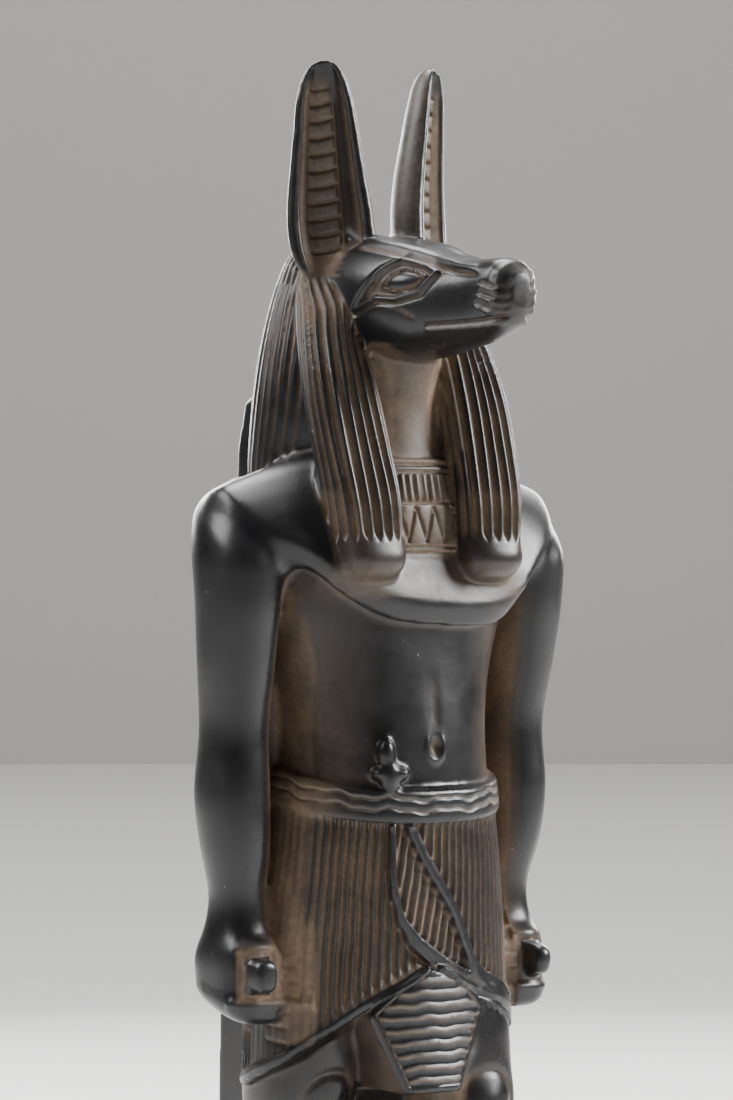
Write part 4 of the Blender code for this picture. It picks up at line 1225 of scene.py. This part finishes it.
def worn_black_resin():
    """Satin black resin with brown left in the carving and rubbed edges."""
    material = bpy.data.materials.new("worn_black_resin")
    material.use_nodes = True
    tree = material.node_tree
    shader = tree.nodes["Principled BSDF"]
    place_node = tree.nodes.new("ShaderNodeTexCoord")
    fine = noise(tree, place_node, 900.0, 4.0)
    cloudy = noise(tree, place_node, 110.0, 5.0)
    broad = noise(tree, place_node, 35.0, 3.0)

    black = colour_mix(tree, BLACK, THIN_BLACK)
    link(tree, broad, "Fac", black, "Factor")

    rubbed_amount = math_node(tree, "MULTIPLY", 0.45, clamp=True)
    link(tree, attribute(tree, "wear"), "Fac", rubbed_amount, 0)
    rubbed = colour_mix(tree, second=RUBBED_BLACK)
    link(tree, rubbed_amount, "Value", rubbed, "Factor")
    link(tree, black, "Result", rubbed, "A")

    patches = ramp(tree, 0.32, 0.62, 0.5, 1.15)
    link(tree, cloudy, "Fac", patches, "Value")
    settled = math_node(tree, "MULTIPLY", clamp=True)
    link(tree, attribute(tree, "brown"), "Fac", settled, 0)
    link(tree, patches, "Result", settled, 1)
    brown_tint = colour_mix(tree, DIRT, DRY_DIRT)
    link(tree, fine, "Fac", brown_tint, "Factor")
    dirty = colour_mix(tree)
    link(tree, settled, "Value", dirty, "Factor")
    link(tree, rubbed, "Result", dirty, "A")
    link(tree, brown_tint, "Result", dirty, "B")

    specks = tree.nodes.new("ShaderNodeTexVoronoi")
    specks.inputs["Scale"].default_value = 420.0
    link(tree, place_node, "Object", specks, "Vector")
    speck = ramp(tree, 0.1, 0.05)
    link(tree, specks, "Distance", speck, "Value")
    thinned = ramp(tree, 0.6, 0.66)
    link(tree, cloudy, "Fac", thinned, "Value")
    dust_amount = math_node(tree, "MULTIPLY", clamp=True)
    link(tree, speck, "Result", dust_amount, 0)
    link(tree, thinned, "Result", dust_amount, 1)
    dusty = colour_mix(tree, second=DUST)
    link(tree, dust_amount, "Value", dusty, "Factor")
    link(tree, dirty, "Result", dusty, "A")

    # The pale attribute's colour: chalky dust in the carving, and a painted highlight on the ear rims
    chalk_and_highlight_patches = ramp(tree, 0.38, 0.6, 0.5, 1.0)
    link(tree, fine, "Fac", chalk_and_highlight_patches, "Value")
    chalk_and_highlight_amount = math_node(tree, "MULTIPLY", clamp=True)
    link(tree, attribute(tree, "pale"), "Fac", chalk_and_highlight_amount, 0)
    link(tree, chalk_and_highlight_patches, "Result", chalk_and_highlight_amount, 1)
    chalk_and_highlight_mix = colour_mix(tree, second=CHALK_AND_PAINTED_HIGHLIGHT)
    link(tree, chalk_and_highlight_amount, "Value", chalk_and_highlight_mix, "Factor")
    link(tree, dusty, "Result", chalk_and_highlight_mix, "A")
    link(tree, chalk_and_highlight_mix, "Result", shader, "Base Color")

    matte = math_node(tree, "MAXIMUM")
    link(tree, settled, "Value", matte, 0)
    link(tree, chalk_and_highlight_amount, "Value", matte, 1)
    gloss = ramp(tree, 0.0, 1.0, 0.3, 0.66)
    link(tree, matte, "Value", gloss, "Value")
    streaks = ramp(tree, 0.3, 0.7, -0.06, 0.1)
    link(tree, cloudy, "Fac", streaks, "Value")
    roughness = math_node(tree, "ADD")
    link(tree, gloss, "Result", roughness, 0)
    link(tree, streaks, "Result", roughness, 1)
    link(tree, roughness, "Value", shader, "Roughness")

    relief = tree.nodes.new("ShaderNodeBump")
    relief.inputs["Strength"].default_value = 0.07
    relief.inputs["Distance"].default_value = 0.0003
    link(tree, fine, "Fac", relief, "Height")
    link(tree, relief, "Normal", shader, "Normal")
    return material


# The studio, in metres

LIGHTS = (  # name, azimuth in degrees from the figure's front, height, distance, size, watts
    ("key_front", 56, 0.46, 0.62, 0.28, 9),
    ("high_left", -118, 0.66, 0.6, 0.45, 6),
    ("overhead", 180, 0.95, 0.12, 0.45, 4.5),
    ("rim_left", 168, 0.35, 0.7, 0.3, 5),
    ("rim_right", 122, 0.35, 0.7, 0.3, 4),
    ("room", 145, 2.6, 1.2, 1.5, 90),
)
LIT_HEIGHT = 0.14  # what every light is turned to, on the base's middle line
BACKDROP_DISTANCE = 2.6


def floor():
    bpy.ops.object.select_all(action="DESELECT")
    bpy.ops.mesh.primitive_plane_add(size=12, location=(0, 0, 0))
    made = bpy.context.object
    made.name = "studio_floor"
    material = bpy.data.materials.new("pale_floor")
    material.use_nodes = True
    shader = material.node_tree.nodes["Principled BSDF"]
    shader.inputs["Base Color"].default_value = (0.62, 0.61, 0.6, 1)
    shader.inputs["Roughness"].default_value = 0.8
    made.data.materials.append(material)


def soft_light(name, azimuth, height, distance, size, watts):
    """A square light turned to the figure. Azimuth is in degrees, 0 in front of it."""
    turn = math.radians(azimuth)
    light = bpy.data.lights.new(name, "AREA")
    light.energy = watts
    light.size = size
    made = bpy.data.objects.new(name, light)
    made.location = (distance * math.sin(turn), -distance * math.cos(turn), height)
    aim = np.array((0, 0, LIT_HEIGHT)) - np.array(made.location)
    made.rotation_euler = (
        math.atan2(math.hypot(aim[0], aim[1]), -aim[2]),
        0,
        math.atan2(aim[0], -aim[1]) + math.pi,
    )
    bpy.context.scene.collection.objects.link(made)


def backdrop():
    """A pale wall behind the figure, square to the photograph's view."""
    bpy.ops.object.select_all(action="DESELECT")
    ahead = (-math.sin(VIEW_AZIMUTH), math.cos(VIEW_AZIMUTH))
    bpy.ops.mesh.primitive_plane_add(
        size=9,
        location=(BACKDROP_DISTANCE * ahead[0], BACKDROP_DISTANCE * ahead[1], 0),
        rotation=(math.pi / 2, 0, VIEW_AZIMUTH),
    )
    made = bpy.context.object
    made.name = "studio_backdrop"
    made.data.materials.append(bpy.data.materials["pale_floor"])


def studio():
    floor()
    backdrop()
    for light in LIGHTS:
        soft_light(*light)
    world = bpy.data.worlds.new("studio")
    world.use_nodes = True
    world.node_tree.nodes["Background"].inputs["Color"].default_value = (0.5, 0.51, 0.53, 1)
    world.node_tree.nodes["Background"].inputs["Strength"].default_value = 0.14
    bpy.context.scene.world = world


# The photograph's viewpoint: level with the elbows, 35 degrees to the figure's right of straight ahead
VIEW_AZIMUTH = math.radians(-35)
VIEW_DISTANCE = 0.75
VIEW_HEIGHT = 0.1588
VIEW_TALL = 0.18304  # what the frame takes in at the figure's axis
VIEW_ASIDE = 0.00191  # the frame's middle lies this far to the left of the figure's axis
SENSOR = 36.0


def camera():
    data = bpy.data.cameras.new("photograph_view")
    data.sensor_fit = "VERTICAL"
    data.sensor_height = SENSOR
    data.lens = SENSOR * VIEW_DISTANCE / VIEW_TALL
    data.clip_start = 0.01
    made = bpy.data.objects.new("photograph_view", data)
    right = np.array((math.cos(VIEW_AZIMUTH), math.sin(VIEW_AZIMUTH), 0))
    ahead = np.array((-math.sin(VIEW_AZIMUTH), math.cos(VIEW_AZIMUTH), 0))
    made.location = np.array((0, AXIS_Y, VIEW_HEIGHT)) - VIEW_ASIDE * right - VIEW_DISTANCE * ahead
    made.rotation_euler = (math.pi / 2, 0, VIEW_AZIMUTH)
    bpy.context.scene.collection.objects.link(made)
    bpy.context.scene.camera = made


def main():
    bpy.ops.object.select_all(action="DESELECT")
    figure = carved_figure()
    figure.data.materials.clear()
    figure.data.materials.append(worn_black_resin())
    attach(figure, "root")
    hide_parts("anubis_figure")
    studio()
    camera()


def plain(corners):
    return [[float(value) for value in corner] for corner in corners]


main()
